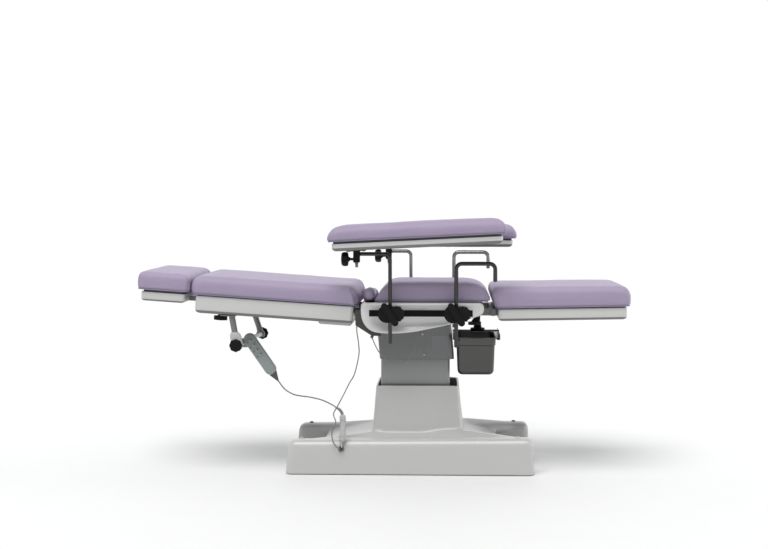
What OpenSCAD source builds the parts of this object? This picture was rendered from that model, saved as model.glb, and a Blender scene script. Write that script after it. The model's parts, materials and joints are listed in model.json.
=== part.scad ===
/* [Base] */
// Length of the base cover along the table
base_l = 977; // [940:1:1000]
// Width of the base cover across the table
base_w = 550; // [540:1:560]
// Height of the two side feet of the base cover
foot_h = 146; // [142:1:148]
// Width of each side foot
foot_w = 90; // [84:1:96]
// Height of the tower rim above the floor
tower_h = 340; // [330:1:342]
// Wall thickness of the moulded base cover
cover_t = 5; // [4:0.5:6]

/* [Column] */
// Distance of the column centre from the middle of the base
column_x = 27; // [26:1:28]
// Outer width of the fixed square column tube
column_w = 170; // [168:1:172]
// Height of the lower edge of the upper shroud at rest
shroud_z = 445; // [440:1:452]
// Top of the middle cover at rest
mid_top = 542; // [538:1:543]

/* [Upholstery] */
// Width of the backrest and leg section pads
pad_w = 600; // [590:2:600]
// Height of the seat surface above the floor
seat_top = 757; // [750:1:762]
// Angle of the backrest above level at rest, in degrees
back_angle = 3.9; // [3:0.1:5]
// Thickness of the backrest pad
back_pad_t = 78; // [70:1:82]
// Thickness of the leg section pad
leg_pad_t = 84; // [78:1:88]

/* [Rails] */
// Height of the side rail bar
rail_h = 25; // [25]
// Thickness of the side rail bar
rail_t = 10; // [10]
// Height of the rail's centre line
rail_z = 640.5; // [638:0.5:643]

/* [Accessories] */
// Diameter of the armrest posts
post_d = 15; // [14:0.5:15]
// Diameter of the handle tube
handle_d = 16; // [14:0.5:16]
// Width of the armrest pads
arm_w = 140; // [120:2:144]
// Length of the armrest pads
arm_l = 684; // [640:2:684]
// Rise of the near armrest towards the foot end, in degrees
arm_tilt = 2.8; // [2:0.1:3]
// Depth of the basin
basin_h = 150; // [140:1:152]
// Inner width of the basin at its top
basin_w = 160; // [154:1:162]
// Length of the basin across the table
basin_l = 305; // [290:1:306]

/* [Cords] */
// Diameter of the plain cords
cord_d = 5.4; // [4.8:0.1:5.4]
// Outer diameter of the curly stretch
curl_d = 24; // [22:1:25]

/* [Hidden] */
$fn = 48;
lavender = [0.72, 0.67, 0.78];
shellc = [0.88, 0.88, 0.87];
steel = [0.62, 0.63, 0.64];
black = [0.08, 0.08, 0.09];
greyc = [0.45, 0.46, 0.47];

hx = -165; hz = 690;                 // backrest hinge axis
post_y = 341;                        // armrest posts and handles, from the middle
arm_y = 377;                         // armrest centre line, from the middle
near_ax = -74; near_hx = 181;        // near clamps along the rail
far_ax = -9; far_hx = 175;           // far clamps along the rail
arm_bar_near = 871; arm_bar_far = 860;   // height of each post's level end
bar_a = [-678, -262, 510]; bar_b = [-645, 262, 510];  // roll bar ends
hs_c = [-597, -165, 457]; hs_ang = 54.6;              // handset centre and slope
pin_x0 = -128.6; pin_z = 600;        // cross pin of the actuator rod at rest

// A box with rounded edges, from corner a to corner b
module rbox(a, b, r, n = 24) {
    hull() for (x = [a[0] + r, b[0] - r], y = [a[1] + r, b[1] - r], z = [a[2] + r, b[2] - r])
        translate([x, y, z]) sphere(r, $fn = n);
}
// A box with a rounded top and upright sides
module rtop(a, b, r, n = 32) {
    hull() for (x = [a[0] + r, b[0] - r], y = [a[1] + r, b[1] - r]) {
        translate([x, y, b[2] - r]) sphere(r, $fn = n);
        translate([x, y, a[2]]) cylinder(r = r, h = 1, $fn = n);
    }
}
// A tray: round lower edges, open at the top
module tray(a, b, r, t, n = 24) {
    difference() {
        hull() for (x = [a[0] + r, b[0] - r], y = [a[1] + r, b[1] - r]) {
            translate([x, y, a[2] + r]) sphere(r, $fn = n);
            translate([x, y, b[2] - 1]) cylinder(r = r, h = 1, $fn = n);
        }
        hull() for (x = [a[0] + r, b[0] - r], y = [a[1] + r, b[1] - r]) {
            translate([x, y, a[2] + r]) sphere(r - t, $fn = n);
            translate([x, y, b[2]]) cylinder(r = r - t, h = 1, $fn = n);
        }
    }
}
// A box from corner a to corner b
module bx(a, b) { translate(a) cube([b[0] - a[0], b[1] - a[1], b[2] - a[2]]); }
// A rectangular tube along X or Y, open at both ends
module tubex(x0, x1, yc, zc, w, h, t) {
    difference() { bx([x0, yc - w / 2, zc - h / 2], [x1, yc + w / 2, zc + h / 2]);
        bx([x0 - 1, yc - w / 2 + t, zc - h / 2 + t], [x1 + 1, yc + w / 2 - t, zc + h / 2 - t]); }
}
module tubey(y0, y1, xc, zc, w, h, t) {
    difference() { bx([xc - w / 2, y0, zc - h / 2], [xc + w / 2, y1, zc + h / 2]);
        bx([xc - w / 2 + t, y0 - 1, zc - h / 2 + t], [xc + w / 2 - t, y1 + 1, zc + h / 2 - t]); }
}
// Round bars along X and Y
module rodx(x0, x1, r) { translate([x0, 0, 0]) rotate([0, 90, 0]) cylinder(r = r, h = x1 - x0); }
module rody(y0, y1, r) { translate([0, y0, 0]) rotate([-90, 0, 0]) cylinder(r = r, h = y1 - y0); }
// A round bar from p to q
module rod(p, q, r) {
    d = q - p; l = norm(d);
    translate(p) rotate([0, acos(d[2] / l), atan2(d[1], d[0])]) cylinder(r = r, h = l);
}
// The frame that lies along the backrest, with its origin on the hinge axis
module at_back() { translate([hx, 0, hz]) rotate([0, back_angle, 0]) children(); }
// A lobed hand knob: crown from z = 0 to h, hub below it
module star(r, h, hub_r, hub_h, lobes = 8) {
    difference() {
        cylinder(r = r, h = h);
        for (i = [0:lobes - 1]) rotate(360 / lobes * (i + 0.5)) translate([r * 1.12, 0, -1]) cylinder(r = r * 0.30, h = h + 2, $fn = 24);
    }
    translate([0, 0, -hub_h]) cylinder(r1 = hub_r * 0.8, r2 = hub_r, h = hub_h);
}
// Swept round tube along points p
function unit(v) = v / norm(v);
function cr(a, b, c, d, t) = 0.5 * ((2 * b) + (c - a) * t + (2 * a - 5 * b + 4 * c - d) * t * t + (3 * b - a - 3 * c + d) * t * t * t);
function smooth(p, k) = [for (i = [0:len(p) - 2], j = [0:k - 1])
    cr(p[max(i - 1, 0)], p[i], p[i + 1], p[min(i + 2, len(p) - 1)], j / k), p[len(p) - 1]];
function tang(p, i) = unit(p[min(i + 1, len(p) - 1)] - p[max(i - 1, 0)]);
function carry(p, i) = i == 0 ? unit(cross(tang(p, 0), [0.3, 0.9, 0.1]))
    : let (u = carry(p, i - 1), t = tang(p, i)) unit(u - t * (u * t));
module sweep(p, r, sides = 8) {
    n = len(p);
    pts = [for (i = [0:n - 1]) let (t = tang(p, i), u = carry(p, i), v = cross(t, u))
        for (k = [0:sides - 1]) p[i] + r * (cos(360 * k / sides) * u + sin(360 * k / sides) * v)];
    faces = concat([[for (k = [0:sides - 1]) k]],
        [for (i = [0:n - 2], k = [0:sides - 1]) [i * sides + k, (i + 1) * sides + k, (i + 1) * sides + (k + 1) % sides, i * sides + (k + 1) % sides]],
        [[for (k = [sides - 1:-1:0]) (n - 1) * sides + k]]);
    polyhedron(pts, faces, convexity = 6);
}

// ---------- base ----------
module cover_foot(s, g, z) {
    x = base_l / 2; y = base_w / 2;
    hull() {
        for (p = [[-x + 39.5, foot_h - 40], [x - 30.5, foot_h - 30]], q = [y - 30, y - foot_w + 30]) translate([p[0], s * q, p[1]]) sphere(30 - g, $fn = 24);
        for (px = [-x + 23.5, x - 24.5], q = [y - 24, y - foot_w + 24]) translate([px, s * q, z]) cylinder(r = 24 - g, h = 1, $fn = 32);
    }
}
// The crown from each foot up to the tower, at the leg end (d = 1) and the head end (d = 0)
module cover_crown(s, d) {
    hull() for (p = d == 1 ? [[440, 230, 121.5], [440, 216, 121.5], [228, 182, 147], [150, 168, 147], [214, 120, 132]]
        : [[-400, 233, 114], [-400, 214, 114], [-170, 182, 137], [-110, 165, 143], [-170, 120, 126]])
        translate([p[0], s * p[1], p[2]]) sphere(20, $fn = 20);
}
module base_cover() {
    x = base_l / 2; y = base_w / 2; t = cover_t;
    color(shellc) difference() {
        union() {
            for (s = [-1, 1]) { cover_foot(s, 0, 2); cover_crown(s, 0); cover_crown(s, 1); }
            hull() {
                for (px = [-330, 330], py = [-y + 40, y - 40]) translate([px, py, 2]) cylinder(r = 22, h = 118, $fn = 32);
                for (px = [-148, 210], py = [-164, 164]) translate([px, py, 146]) cylinder(r = 16, h = 12, $fn = 32);
            }
            hull() {
                for (px = [-130, 192], py = [-154, 154]) translate([px, py, 152]) cylinder(r = 22, h = 1, $fn = 32);
                for (px = [-118, 175], py = [-139, 139]) translate([px, py, tower_h - 1]) cylinder(r = 18, h = 1, $fn = 32);
            }
        }
        for (s = [-1, 1]) cover_foot(s, t, 1);
        hull() {
            for (px = [-330, 330], py = [-y + 40, y - 40]) translate([px, py, 1]) cylinder(r = 17, h = 113, $fn = 32);
            for (px = [-148, 210], py = [-164, 164]) translate([px, py, 140]) cylinder(r = 11, h = 12, $fn = 32);
        }
        hull() {
            for (px = [-130, 192], py = [-154, 154]) translate([px, py, 140]) cylinder(r = 17, h = 1, $fn = 32);
            for (px = [-118, 175], py = [-139, 139]) translate([px, py, tower_h]) cylinder(r = 13.5, h = 1, $fn = 32);
        }
        // the inlet's cut-out in the head end wall and the grommet's seat in the near foot
        bx([-360, 25.7, 42.7], [-340, 74.3, 71.3]);
        translate([-268, -272, 103]) rotate([70, 0, 0]) translate([0, 0, -12]) cylinder(r = 13.1, h = 40, $fn = 32);
    }
}
module base_chassis() {
    color(greyc) difference() {
        union() {
            for (s = [-1, 1]) tubex(-455, 455, s * 230, 41, 50, 50, 3);
            for (px = [-110, 164]) tubey(-205, 205, px, 41, 50, 50, 3);
            bx([column_x - 130, -140, 66], [column_x + 130, 140, 74]);
        }
        for (px = [-430, 430], py = [-230, 230]) translate([px, py, 10]) cylinder(r = 6.05, h = 12);
    }
}
module base_feet() {
    color(black) for (px = [-430, 430], py = [-230, 230]) translate([px, py, 0]) {
        cylinder(r = 24, h = 10); translate([0, 0, 10]) cylinder(r1 = 20, r2 = 12, h = 5.5);
        cylinder(r = 6, h = 44);
    }
}
module cover_screws() {
    color(steel) for (px = [-427, 427], py = [-230, 230]) translate([px, py, foot_h - (px < 0 ? 9.66 : 0.24)]) {
        cylinder(r = 8, h = 2); translate([0, 0, 2]) cylinder(r1 = 8, r2 = 4.5, h = 2);
    }
}
module cable_grommet() {
    color(black) translate([-268, -272, 103]) rotate([70, 0, 0]) {
        translate([0, 0, -9]) cylinder(r = 13, h = 13);
        translate([0, 0, 4]) cylinder(r1 = 17, r2 = 15, h = 4);
    }
}
module mains_inlet() {
    color(black) difference() {
        union() { bx([-356, 20, 40], [-352.2, 80, 74]); bx([-356, 26, 43], [-325, 74, 71]); }
        bx([-357, 38, 48.5], [-338, 62, 65.5]);
    }
    color(steel) for (p = [[43, 55], [50, 60], [57, 55]]) bx([-353, p[0] - 1, p[1] - 3], [-338, p[0] + 1, p[1] + 3]);
}
// ---------- column ----------
module sq(w, z0, z1, t) { difference() { bx([column_x - w / 2, -w / 2, z0], [column_x + w / 2, w / 2, z1]);
    bx([column_x - w / 2 + t, -w / 2 + t, z0 - 1], [column_x + w / 2 - t, w / 2 - t, z1 + 1]); } }
module column_outer() { color(steel) { sq(column_w, 74, 330, 8); } }
module column_inner() {
    color(steel) { sq(column_w - 20, 110, 545, 6); bx([column_x - 95, -95, 545], [column_x + 95, 95, 555]); }
}
module rsleeve(x0, x1, y, r, z0, z1, t, lean = 0) {
    difference() {
        hull() for (px = [x0 + r, x1 - r], py = [-y + r, y - r]) {
            translate([px, py, z0]) cylinder(r = r, h = 0.5, $fn = 40);
            translate([px - lean, py, z1 - 0.5]) cylinder(r = r, h = 0.5, $fn = 40);
        }
        hull() for (px = [x0 + r, x1 - r], py = [-y + r, y - r]) {
            translate([px, py, z0 - 0.5]) cylinder(r = r - t, h = 0.5, $fn = 40);
            translate([px - lean, py, z1]) cylinder(r = r - t, h = 0.5, $fn = 40);
        }
    }
}
module rr2(x0, x1, y, r) {
    translate([x0 + r, -y]) square([x1 - x0 - 2 * r, 2 * y]);
    translate([x0, -y + r]) square([x1 - x0, 2 * y - 2 * r]);
    for (px = [x0 + r, x1 - r], py = [-y + r, y - r]) translate([px, py]) circle(r);
}
module column_mid_cover() {
    color(shellc) translate([0, 0, 230]) linear_extrude(mid_top - 230) difference() { rr2(-118, 157, 132, 16); rr2(-115, 154, 129, 13); }
}
module column_shroud() {
    color(shellc) difference() {
        rsleeve(-122.5, 174, 146, 20, shroud_z, 606, 3, 14);
        bx([-170, -45, 550], [-90, 45, 610]);
        // the right side is cut back under the rising floor of the seat cover
        bx([-150, -160, 566], [60, 160, 620]);
    }
}
// ---------- seat ----------
module seat_frame() {
    color(greyc) {
        difference() {
            union() {
                for (s = [-1, 1]) tubex(-178, 268, s * 200, 665, 20, 20, 2);
                for (px = [-70, 85, 255]) tubey(-190, 190, px, 665, 26, 20, 2);
                for (s = [-1, 1]) {
                    translate([hx, s * 200 + 6, hz]) rotate([90, 0, 0]) cylinder(r = 13, h = 12);
                    bx([hx - 13, s * 200 - 6, 675], [hx + 13, s * 200 + 6, hz]);
                    tubex(-10, 275, s * 180, 637.5, 50, 35, 4);
                    bx([column_x - 72, s * 72 - 4, 555], [column_x + 72, s * 72 + 4, 655]);
                }
                bx([20, -68, 620], [50, 68, 640]);
                bx([257, -15, 640], [278, 15, 655]);
            }
            for (s = [-1, 1]) translate([hx, s * 200 + 10, hz]) rotate([90, 0, 0]) cylinder(r = 6.06, h = 20);
            translate([255, -180, 610]) cylinder(r = 5.1, h = 16);
        }
    }
}
seat_prof = [[-180, 680], [-188, 672], [-190, 660], [-190, 634], [-184, 612], [-174, 593], [-162, 578], [-150, 569],
    [-125, 562], [-72, 559], [-2, 563], [74, 577], [157, 595], [227, 614], [262, 624], [284, 638], [290, 652], [288, 666], [280, 676], [270, 680]];
module seat_cover() {
    color(shellc) difference() {
        translate([0, 300, 0]) rotate([90, 0, 0]) linear_extrude(600) polygon(seat_prof);
        translate([0, 296, 0]) rotate([90, 0, 0]) linear_extrude(592) offset(delta = -4) polygon(seat_prof);
        bx([-178, -288, 670], [276, 288, 690]);
        bx([-142, -148, 540], [163, 148, 612]);
        bx([-200, -42, 550], [-130, 42, 690]);
        for (s = [-1, 1]) {
            bx([-200, s * 178 - 17, 618], [-150, s * 178 + 17, 690]);
            bx([205, s * 180 - 26, 608], [300, s * 180 + 26, 658]);
        }
        translate([255, -180, 600]) cylinder(r = 8, h = 40);
        translate([270, 0, 600]) cylinder(r = 13, h = 40);
    }
}
module seat_pad() {
    color(lavender) hull() {
        for (px = [-66, 286], py = [-268, 268]) translate([px, py, seat_top - 22]) sphere(22, $fn = 24);
        for (px = [-128, 299], py = [-276, 276]) translate([px, py, 694]) sphere(13, $fn = 24);
    }
}
module side_rails() {
    color(black) for (s = [-1, 1]) {
        bx([-156, s * (318 + rail_t / 2) - rail_t / 2, rail_z - rail_h / 2], [245, s * (318 + rail_t / 2) + rail_t / 2, rail_z + rail_h / 2]);
        for (px = [-130, 50, 225]) translate([px, 0, rail_z]) rody(s < 0 ? -318 : 300, s < 0 ? -300 : 318, 8);
    }
}
module basin_hanger() {
    color(black) {
        for (s = [-1, 1]) {
            bx([263 + s * 92.75 - 1.25, -166, 524], [263 + s * 92.75 + 1.25, 166, 546]);
            bx([263 + s * 87 - 7, -166, 524], [263 + s * 87 + (s > 0 ? 7 : 3.4), 166, 527]);
        }
        bx([169, -22, 546], [357, 22, 551]);
        translate([270, 0, 551]) cylinder(r = 29, h = 9);
        translate([270, 0, 560]) cylinder(r1 = 17, r2 = 13, h = 18);
        translate([270, 0, 578]) cylinder(r = 11, h = 62);
    }
}
module leg_lock_knob() {
    color(black) translate([255, -180, 0]) {
        difference() { translate([0, 0, 586]) cylinder(r = 26, h = 12);
            for (i = [0:17]) rotate(i * 20) translate([27.5, 0, 580]) cylinder(r = 2.6, h = 30, $fn = 16); }
        translate([0, 0, 598]) cylinder(r1 = 14, r2 = 7, h = 12);
        translate([0, 0, 610]) cylinder(r = 5, h = 14);
    }
}
module cable_arm() {
    color(greyc) difference() {
        union() {
            translate([0, -256, 0]) rotate([90, 0, 0]) linear_extrude(28) polygon([[-214, 650], [-190.3, 650], [-190.3, 634], [-184.5, 611.6], [-174.5, 592.5], [-162.4, 577.4], [-150.3, 568.2],
                [-125.2, 561.3], [-112, 560.4], [-112, 549], [-147, 549], [-211, 590]]);
            bx([-128, -284, 552], [-116, -256, 561.5]);
            bx([-213, -275, 610], [-190.2, -265, 649]);
            translate([-207, -270, 594]) cylinder(r = 4.5, h = 17);
        }
        // the cable's way up through the clip
        translate([-207, -270, 578]) cylinder(r = 2.6, h = 49);
    }
    color(black) translate([-147, -256, 545]) rody(-26, 0, 6);
}
// ---------- backrest drive ----------
module back_actuator() {
    color(greyc) difference() {
        union() {
            translate([0, 0, pin_z]) rodx(-88, 100, 20);
            bx([96, -32, 572], [152, 32, 628]);
        }
        translate([0, 0, pin_z]) rodx(-89, 90, 10.06);
    }
}
module actuator_rod() {
    color(steel) translate([0, 0, pin_z]) {
        rodx(-116, 62, 10);
        translate([pin_x0, 0, 0]) rody(-12, 12, 14);
        translate([pin_x0, 0, 0]) rody(-26, 26, 6);
    }
}
module back_frame() {
    color(greyc) {
        difference() {
            union() {
                at_back() {
                    for (s = [-1, 1]) {
                        tubex(-640, -100, s * 230, -62, 30, 24, 2);
                        tubex(-662, -470, s * 150, -52, 42, 24, 4);
                        translate([0, s * 178 + 6, 0]) rotate([90, 0, 0]) linear_extrude(12)
                            polygon([[-122, -72], [-26, -61], [-16, -46], [10, -5], [4, 10], [-9, 6], [-35, -40], [-122, -50]]);
                    }
                    tubey(-215, 215, -118, -62, 34, 24, 2);
                    tubey(-215, 215, -482, -74, 34, 24, 2);
                    tubey(-215, 215, -634, -74, 34, 24, 2);
                }
                translate([hx, 0, hz]) rody(-184, 184, 11);
                translate([hx, 0, hz]) rody(-208, 208, 6);
                for (s = [-1, 1]) translate([hx, s * 17 + 3, hz]) rotate([90, 0, 0]) linear_extrude(6) rotate(22) difference() {
                    union() { circle(14); translate([0, -119]) circle(20); polygon([[-14, 0], [-19.9, -117], [19.9, -117], [14, 0]]); }
                    union() { translate([0, -84]) circle(12); translate([0, -119]) circle(12); translate([-12, -119]) square([24, 35]); }
                }
            }
            at_back() translate([-587, -150, -80]) cylinder(r = 5.1, h = 20);
        }
    }
}
module back_shell() {
    color(shellc) at_back() difference() {
        union() {
            tray([-672, -pad_w / 2 + 7, -99], [-52, pad_w / 2 - 7, -31], 16, 4);
            tray([-186, -270, -107.5], [-54, 270, -96], 5, 3);
        }
        bx([-178, -262, -104], [-62, 262, -90]);
        for (s = [-1, 1]) {
            bx([-100, s * 178 - 14, -78], [-40, s * 178 + 14, -20]);
            bx([-680, s * 150 - 22, -66], [-650, s * 150 + 22, -20]);
        }
        translate([-587, -150, -110]) cylinder(r = 8, h = 30);
    }
}
module back_pad() {
    z0 = -29; z1 = z0 + back_pad_t;
    color(lavender) at_back() hull() {
        for (px = [-664, -92], py = [-pad_w / 2 + 26, pad_w / 2 - 26]) translate([px, py, z1 - 26]) sphere(26, $fn = 24);
        for (px = [-674, -50], py = [-pad_w / 2 + 14, pad_w / 2 - 14]) translate([px, py, z0 + 14]) sphere(14, $fn = 24);
    }
}
module head_lock_knob() {
    color(black) at_back() translate([-587, -150, 0]) {
        difference() { translate([0, 0, -130]) cylinder(r = 27, h = 16);
            for (i = [0:17]) rotate(i * 20) translate([28.5, 0, -134]) cylinder(r = 2.5, h = 30, $fn = 16); }
        translate([0, 0, -114]) cylinder(r1 = 13, r2 = 7, h = 14);
        translate([0, 0, -100]) cylinder(r = 5, h = 40);
    }
}
// ---------- headrest ----------
module head_frame() {
    color(steel) at_back() for (s = [-1, 1]) bx([-860, s * 150 - 16.9, -59.9], [-480, s * 150 + 16.9, -44.1]);
    color(greyc) at_back() bx([-868, -250, -44.1], [-740, 250, -38]);
}
module head_shell() {
    color(shellc) at_back() difference() {
        tray([-886, -pad_w / 2 + 8, -65], [-714, pad_w / 2 - 8, -34], 12, 3.5);
        for (s = [-1, 1]) bx([-722, s * 150 - 20, -66], [-700, s * 150 + 20, -20]);
    }
}
module head_pad() {
    color(lavender) at_back() hull() {
        for (px = [-876, -720], py = [-pad_w / 2 + 24, pad_w / 2 - 24]) translate([px, py, 22]) sphere(24, $fn = 24);
        for (px = [-888, -712], py = [-pad_w / 2 + 14, pad_w / 2 - 14]) translate([px, py, -14]) sphere(14, $fn = 24);
    }
}
// ---------- leg section ----------
module leg_frame() {
    color(steel) {
        for (s = [-1, 1]) bx([0, s * 180 - 20.9, 624.1], [430, s * 180 + 20.9, 650.9]);
        bx([365, -270, 648], [820, 270, 654]);
    }
    color(greyc) bx([318, -225, 624.1], [336, 225, 650.9]);
}
module leg_shell() {
    color(shellc) difference() {
        tray([345, -pad_w / 2 + 7, 609], [843, pad_w / 2 - 7, 656], 14, 4);
        for (s = [-1, 1]) bx([335, s * 180 - 24, 620], [365, s * 180 + 24, 670]);
    }
}
module leg_pad() {
    z0 = 657; z1 = z0 + leg_pad_t;
    color(lavender) hull() {
        for (px = [342, 828], py = [-pad_w / 2 + 26, pad_w / 2 - 26]) translate([px, py, z1 - 26]) sphere(26, $fn = 24);
        for (px = [350, 840], py = [-pad_w / 2 + 14, pad_w / 2 - 14]) translate([px, py, z0 + 14]) sphere(14, $fn = 24);
    }
}
// ---------- basin ----------
module pan(t, z0) {
    hull() {
        for (sx = [-1, 1], sy = [-1, 1]) {
            translate([sx * (basin_w / 2 - 22), sy * (basin_l / 2 - 22), 528]) cylinder(r = 22 - t, h = 4, $fn = 32);
            translate([sx * (basin_w / 2 - 22 - 5), sy * (basin_l / 2 - 22 - 5), z0 + 20]) sphere(20 - t, $fn = 24);
        }
    }
}
module basin() {
    color(steel) translate([263, 0, 0]) difference() {
        union() {
            translate([-2.5, 0, 0]) pan(0, 532 - basin_h);
            hull() for (sx = [-1, 1], sy = [-1, 1]) translate([sx * 83, sy * 153, 529]) cylinder(r = 7, h = 3, $fn = 32);
        }
        intersection() { translate([-2.5, 0, 0]) pan(1.5, 532 - basin_h + 0.3); bx([-100, -200, 300], [100, 200, 531.9]); }
        hull() for (sx = [-1, 1], sy = [-1, 1]) translate([sx * (basin_w / 2 - 22) - 2.5, sy * (basin_l / 2 - 22), 527]) cylinder(r = 20.5, h = 10, $fn = 32);
    }
}
// ---------- roll bar under the backrest ----------
bar_u = unit(bar_b - bar_a);
module along_bar() { translate(bar_a) rotate([-90, 0, -atan2(bar_u[0], bar_u[1])]) children(); }
bar_len = norm(bar_b - bar_a);
module roll_arms() {
    color(steel) difference() {
        union() {
            rod([-699, -262, 624.8], [-680, -262, 520], 12);
            rod([-682, 262, 621.8], [-647, 262, 518], 12);
            along_bar() { translate([0, 0, -11]) cylinder(r = 17, h = 22); translate([0, 0, bar_len - 11]) cylinder(r = 15, h = 22); }
            at_back() { bx([-572, -284, -103], [-512, -240, -99]); bx([-556, 240, -103], [-496, 284, -99]); }
        }
        along_bar() translate([0, 0, -20]) cylinder(r = 9.06, h = bar_len + 40);
    }
}
module roll_bar() {
    color(steel) along_bar() translate([0, 0, -22]) cylinder(r = 9, h = bar_len + 44);
}
module roll_knobs() {
    color(black) along_bar() {
        translate([0, 0, -38]) difference() { cylinder(r = 25, h = 16); for (i = [0:7]) rotate(45 * i + 22.5) translate([28, 0, -1]) cylinder(r = 7.5, h = 20, $fn = 24); }
        translate([0, 0, bar_len + 22]) difference() { cylinder(r = 25, h = 16); for (i = [0:7]) rotate(45 * i + 22.5) translate([28, 0, -1]) cylinder(r = 7.5, h = 20, $fn = 24); }
    }
}
// ---------- handset ----------
// Frame of the handset: x across, y out of its back, z up along it
module at_hs() { translate(hs_c) rotate([0, hs_ang - 90, 0]) children(); }
module handset() {
    color([0.6, 0.63, 0.63]) at_hs() difference() {
        union() {
            hull() for (p = [[2.5, -64, 23.5], [4, 80, 24]]) translate([p[0], 14, p[1]]) rotate([90, 0, 0]) { cylinder(r = p[2] - 3, h = 28, $fn = 32); translate([0, 0, 3]) cylinder(r = p[2], h = 22, $fn = 32); }
            // hook plate on the back
            translate([0, 20, 0]) rotate([90, 0, 0]) linear_extrude(6) difference() {
                union() { translate([-29.5, 85.9]) circle(17); polygon([[-42, 76], [-10, 20], [12, 20], [12, 60], [-22, 100]]); }
                translate([-29.5, 85.9]) circle(9.6);
            }
        }
        for (i = [0:3]) translate([0, -15, 74 - 22.5 * i]) rotate([-90, 0, 0]) bx([-15.8, -7.3, 0], [15.8, 7.3, 5.2]);
        for (i = [0:3]) translate([0, -11.4, 74 - 22.5 * i - 9]) cylinder(r = 1.25, h = 18, $fn = 32);
    }
    color(greyc) at_hs() hull() { translate([1, 0, -87]) cube([34, 15, 2], center = true); translate([0, 0, -118.5]) cylinder(r = 4.4, h = 1); }
}
module rocker(i) {
    color([0.62, 0.66, 0.64]) at_hs() translate([0, 0, 74 - 22.5 * i]) difference() {
        union() {
            hull() { bx([-15.5, -11.6, -7], [15.5, -11.4, 7]); bx([-14.5, -15.6, -6.2], [14.5, -15.4, 6.2]); }
            translate([0, -11.4, -8.8]) cylinder(r = 1.2, h = 17.6, $fn = 32);
        }
        translate([0, -35, -8]) cylinder(r = 20, h = 16, $fn = 96);
    }
}
module rocker_1() { rocker(0); }
module rocker_2() { rocker(1); }
module rocker_3() { rocker(2); }
module rocker_4() { rocker(3); }
// ---------- cords ----------
hc_pts = [[-528, -165, 359.9], [-521, -165, 350], [-512, -167, 338], [-494, -174, 321], [-463, -190, 307], [-432, -202, 302], [-400, -215, 300], [-351, -235, 292], [-313, -250, 278], [-290, -262, 266]];
cc_pts = [[-288.8, -262.1, 265.3], [-276, -264, 257], [-267, -266, 246], [-263, -268, 234]];
cw_pts = [[-263, -268, 234], [-261, -272, 200], [-262, -278, 165], [-265, -286, 130]];
ct_pts = [[-265, -286, 130], [-265, -290, 120], [-265, -290, 113], [-265, -286.5, 109.7], [-265, -278, 106.7]];
bc_pts = [[-207, -270, 594], [-207, -270, 576], [-206, -269, 560], [-201, -259, 520], [-199, -250, 480], [-207, -250, 433], [-219, -250, 391], [-237, -250, 360], [-258, -250, 318], [-283, -250.5, 270],
    [-299, -266, 239], [-289, -280, 209], [-303, -288, 172], [-300, -292, 138], [-287, -293, 116], [-277, -292, 109], [-272, -288, 105.7], [-272, -279.5, 102.7]];
mc_pts = [[-147, -269, 541], [-142, -267, 528], [-132, -262, 505], [-117, -260, 480], [-84, -260, 451], [-54, -260, 441], [-32, -260, 444], [-5, -260, 459], [15, -260, 489], [25, -258, 525], [32, -254, 550], [35, -252, 563], [36, -251, 572]];
module handset_cord() { color(greyc) sweep(smooth(hc_pts, 3), cord_d / 2); }
module curly_cord() {
    color(greyc) {
        sweep(smooth(cc_pts, 2), 5.5, 10);
        sweep(smooth(cw_pts, 2), curl_d / 2, 12);
        sweep(smooth(ct_pts, 3), cord_d / 2);
    }
}
module back_cable() { color(greyc) sweep(smooth(bc_pts, 3), cord_d / 2 - 0.4); }
module motor_cable() { color(greyc) sweep(smooth(mc_pts, 3), cord_d / 2 - 0.7); }
// ---------- clamps, posts, handles ----------
// A rail clamp, drawn on the near side (s = -1) or mirrored to the far side
module side(s) { scale([1, -s, 1]) children(); }
module clamp(px, s, d) {
    color(black) side(s) translate([px, 0, rail_z]) difference() {
        union() {
            bx([-27, -354, -27], [40, -311, 27]);
            translate([-12, -364, 0]) rotate([-90, 0, 0]) cylinder(r = 35, h = 12);
            translate([26, -377, 0]) rotate([-90, 0, 0]) { difference() { cylinder(r = 31, h = 12);
                for (i = [0:11]) rotate(30 * i + 15) translate([34.5, 0, -1]) cylinder(r = 6, h = 16, $fn = 24); }
                cylinder(r = 12, h = 24); }
        }
        bx([-50, -328.4, -rail_h / 2 - 0.4], [50, -317.6, rail_h / 2 + 0.4]);
        bx([-50, -320, -8.6], [50, -300, 8.6]);
        translate([0, -post_y, -40]) cylinder(r = d / 2 + 0.05, h = 80);
        translate([-12, -380, 0]) rotate([-90, 0, 0]) cylinder(r = 4.05, h = 26);
    }
}
module wing(px, s) {
    color(black) side(s) translate([px, 0, rail_z]) {
        translate([0, -380, 0]) rotate([90, 0, 0]) linear_extrude(11) rotate(-57) hull() { translate([-38, 0]) circle(12); translate([38, 0]) circle(13.5); }
        translate([-12, -380, 0]) rotate([-90, 0, 0]) { cylinder(r = 6, h = 15.5); cylinder(r = 4, h = 24); }
    }
}
module post(px, s, zb, hook) {
    r = 20;
    color(steel) side(s) translate([px, -post_y, 0]) {
        translate([0, 0, zb - 344]) cylinder(r = post_d / 2, h = 344 - r);
        translate([-r, 0, zb - r]) rotate([90, 0, 0]) rotate_extrude(angle = 90) translate([r, 0]) circle(post_d / 2);
        translate([0, 0, zb]) rodx(-hook, -r, post_d / 2);
    }
}
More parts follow.
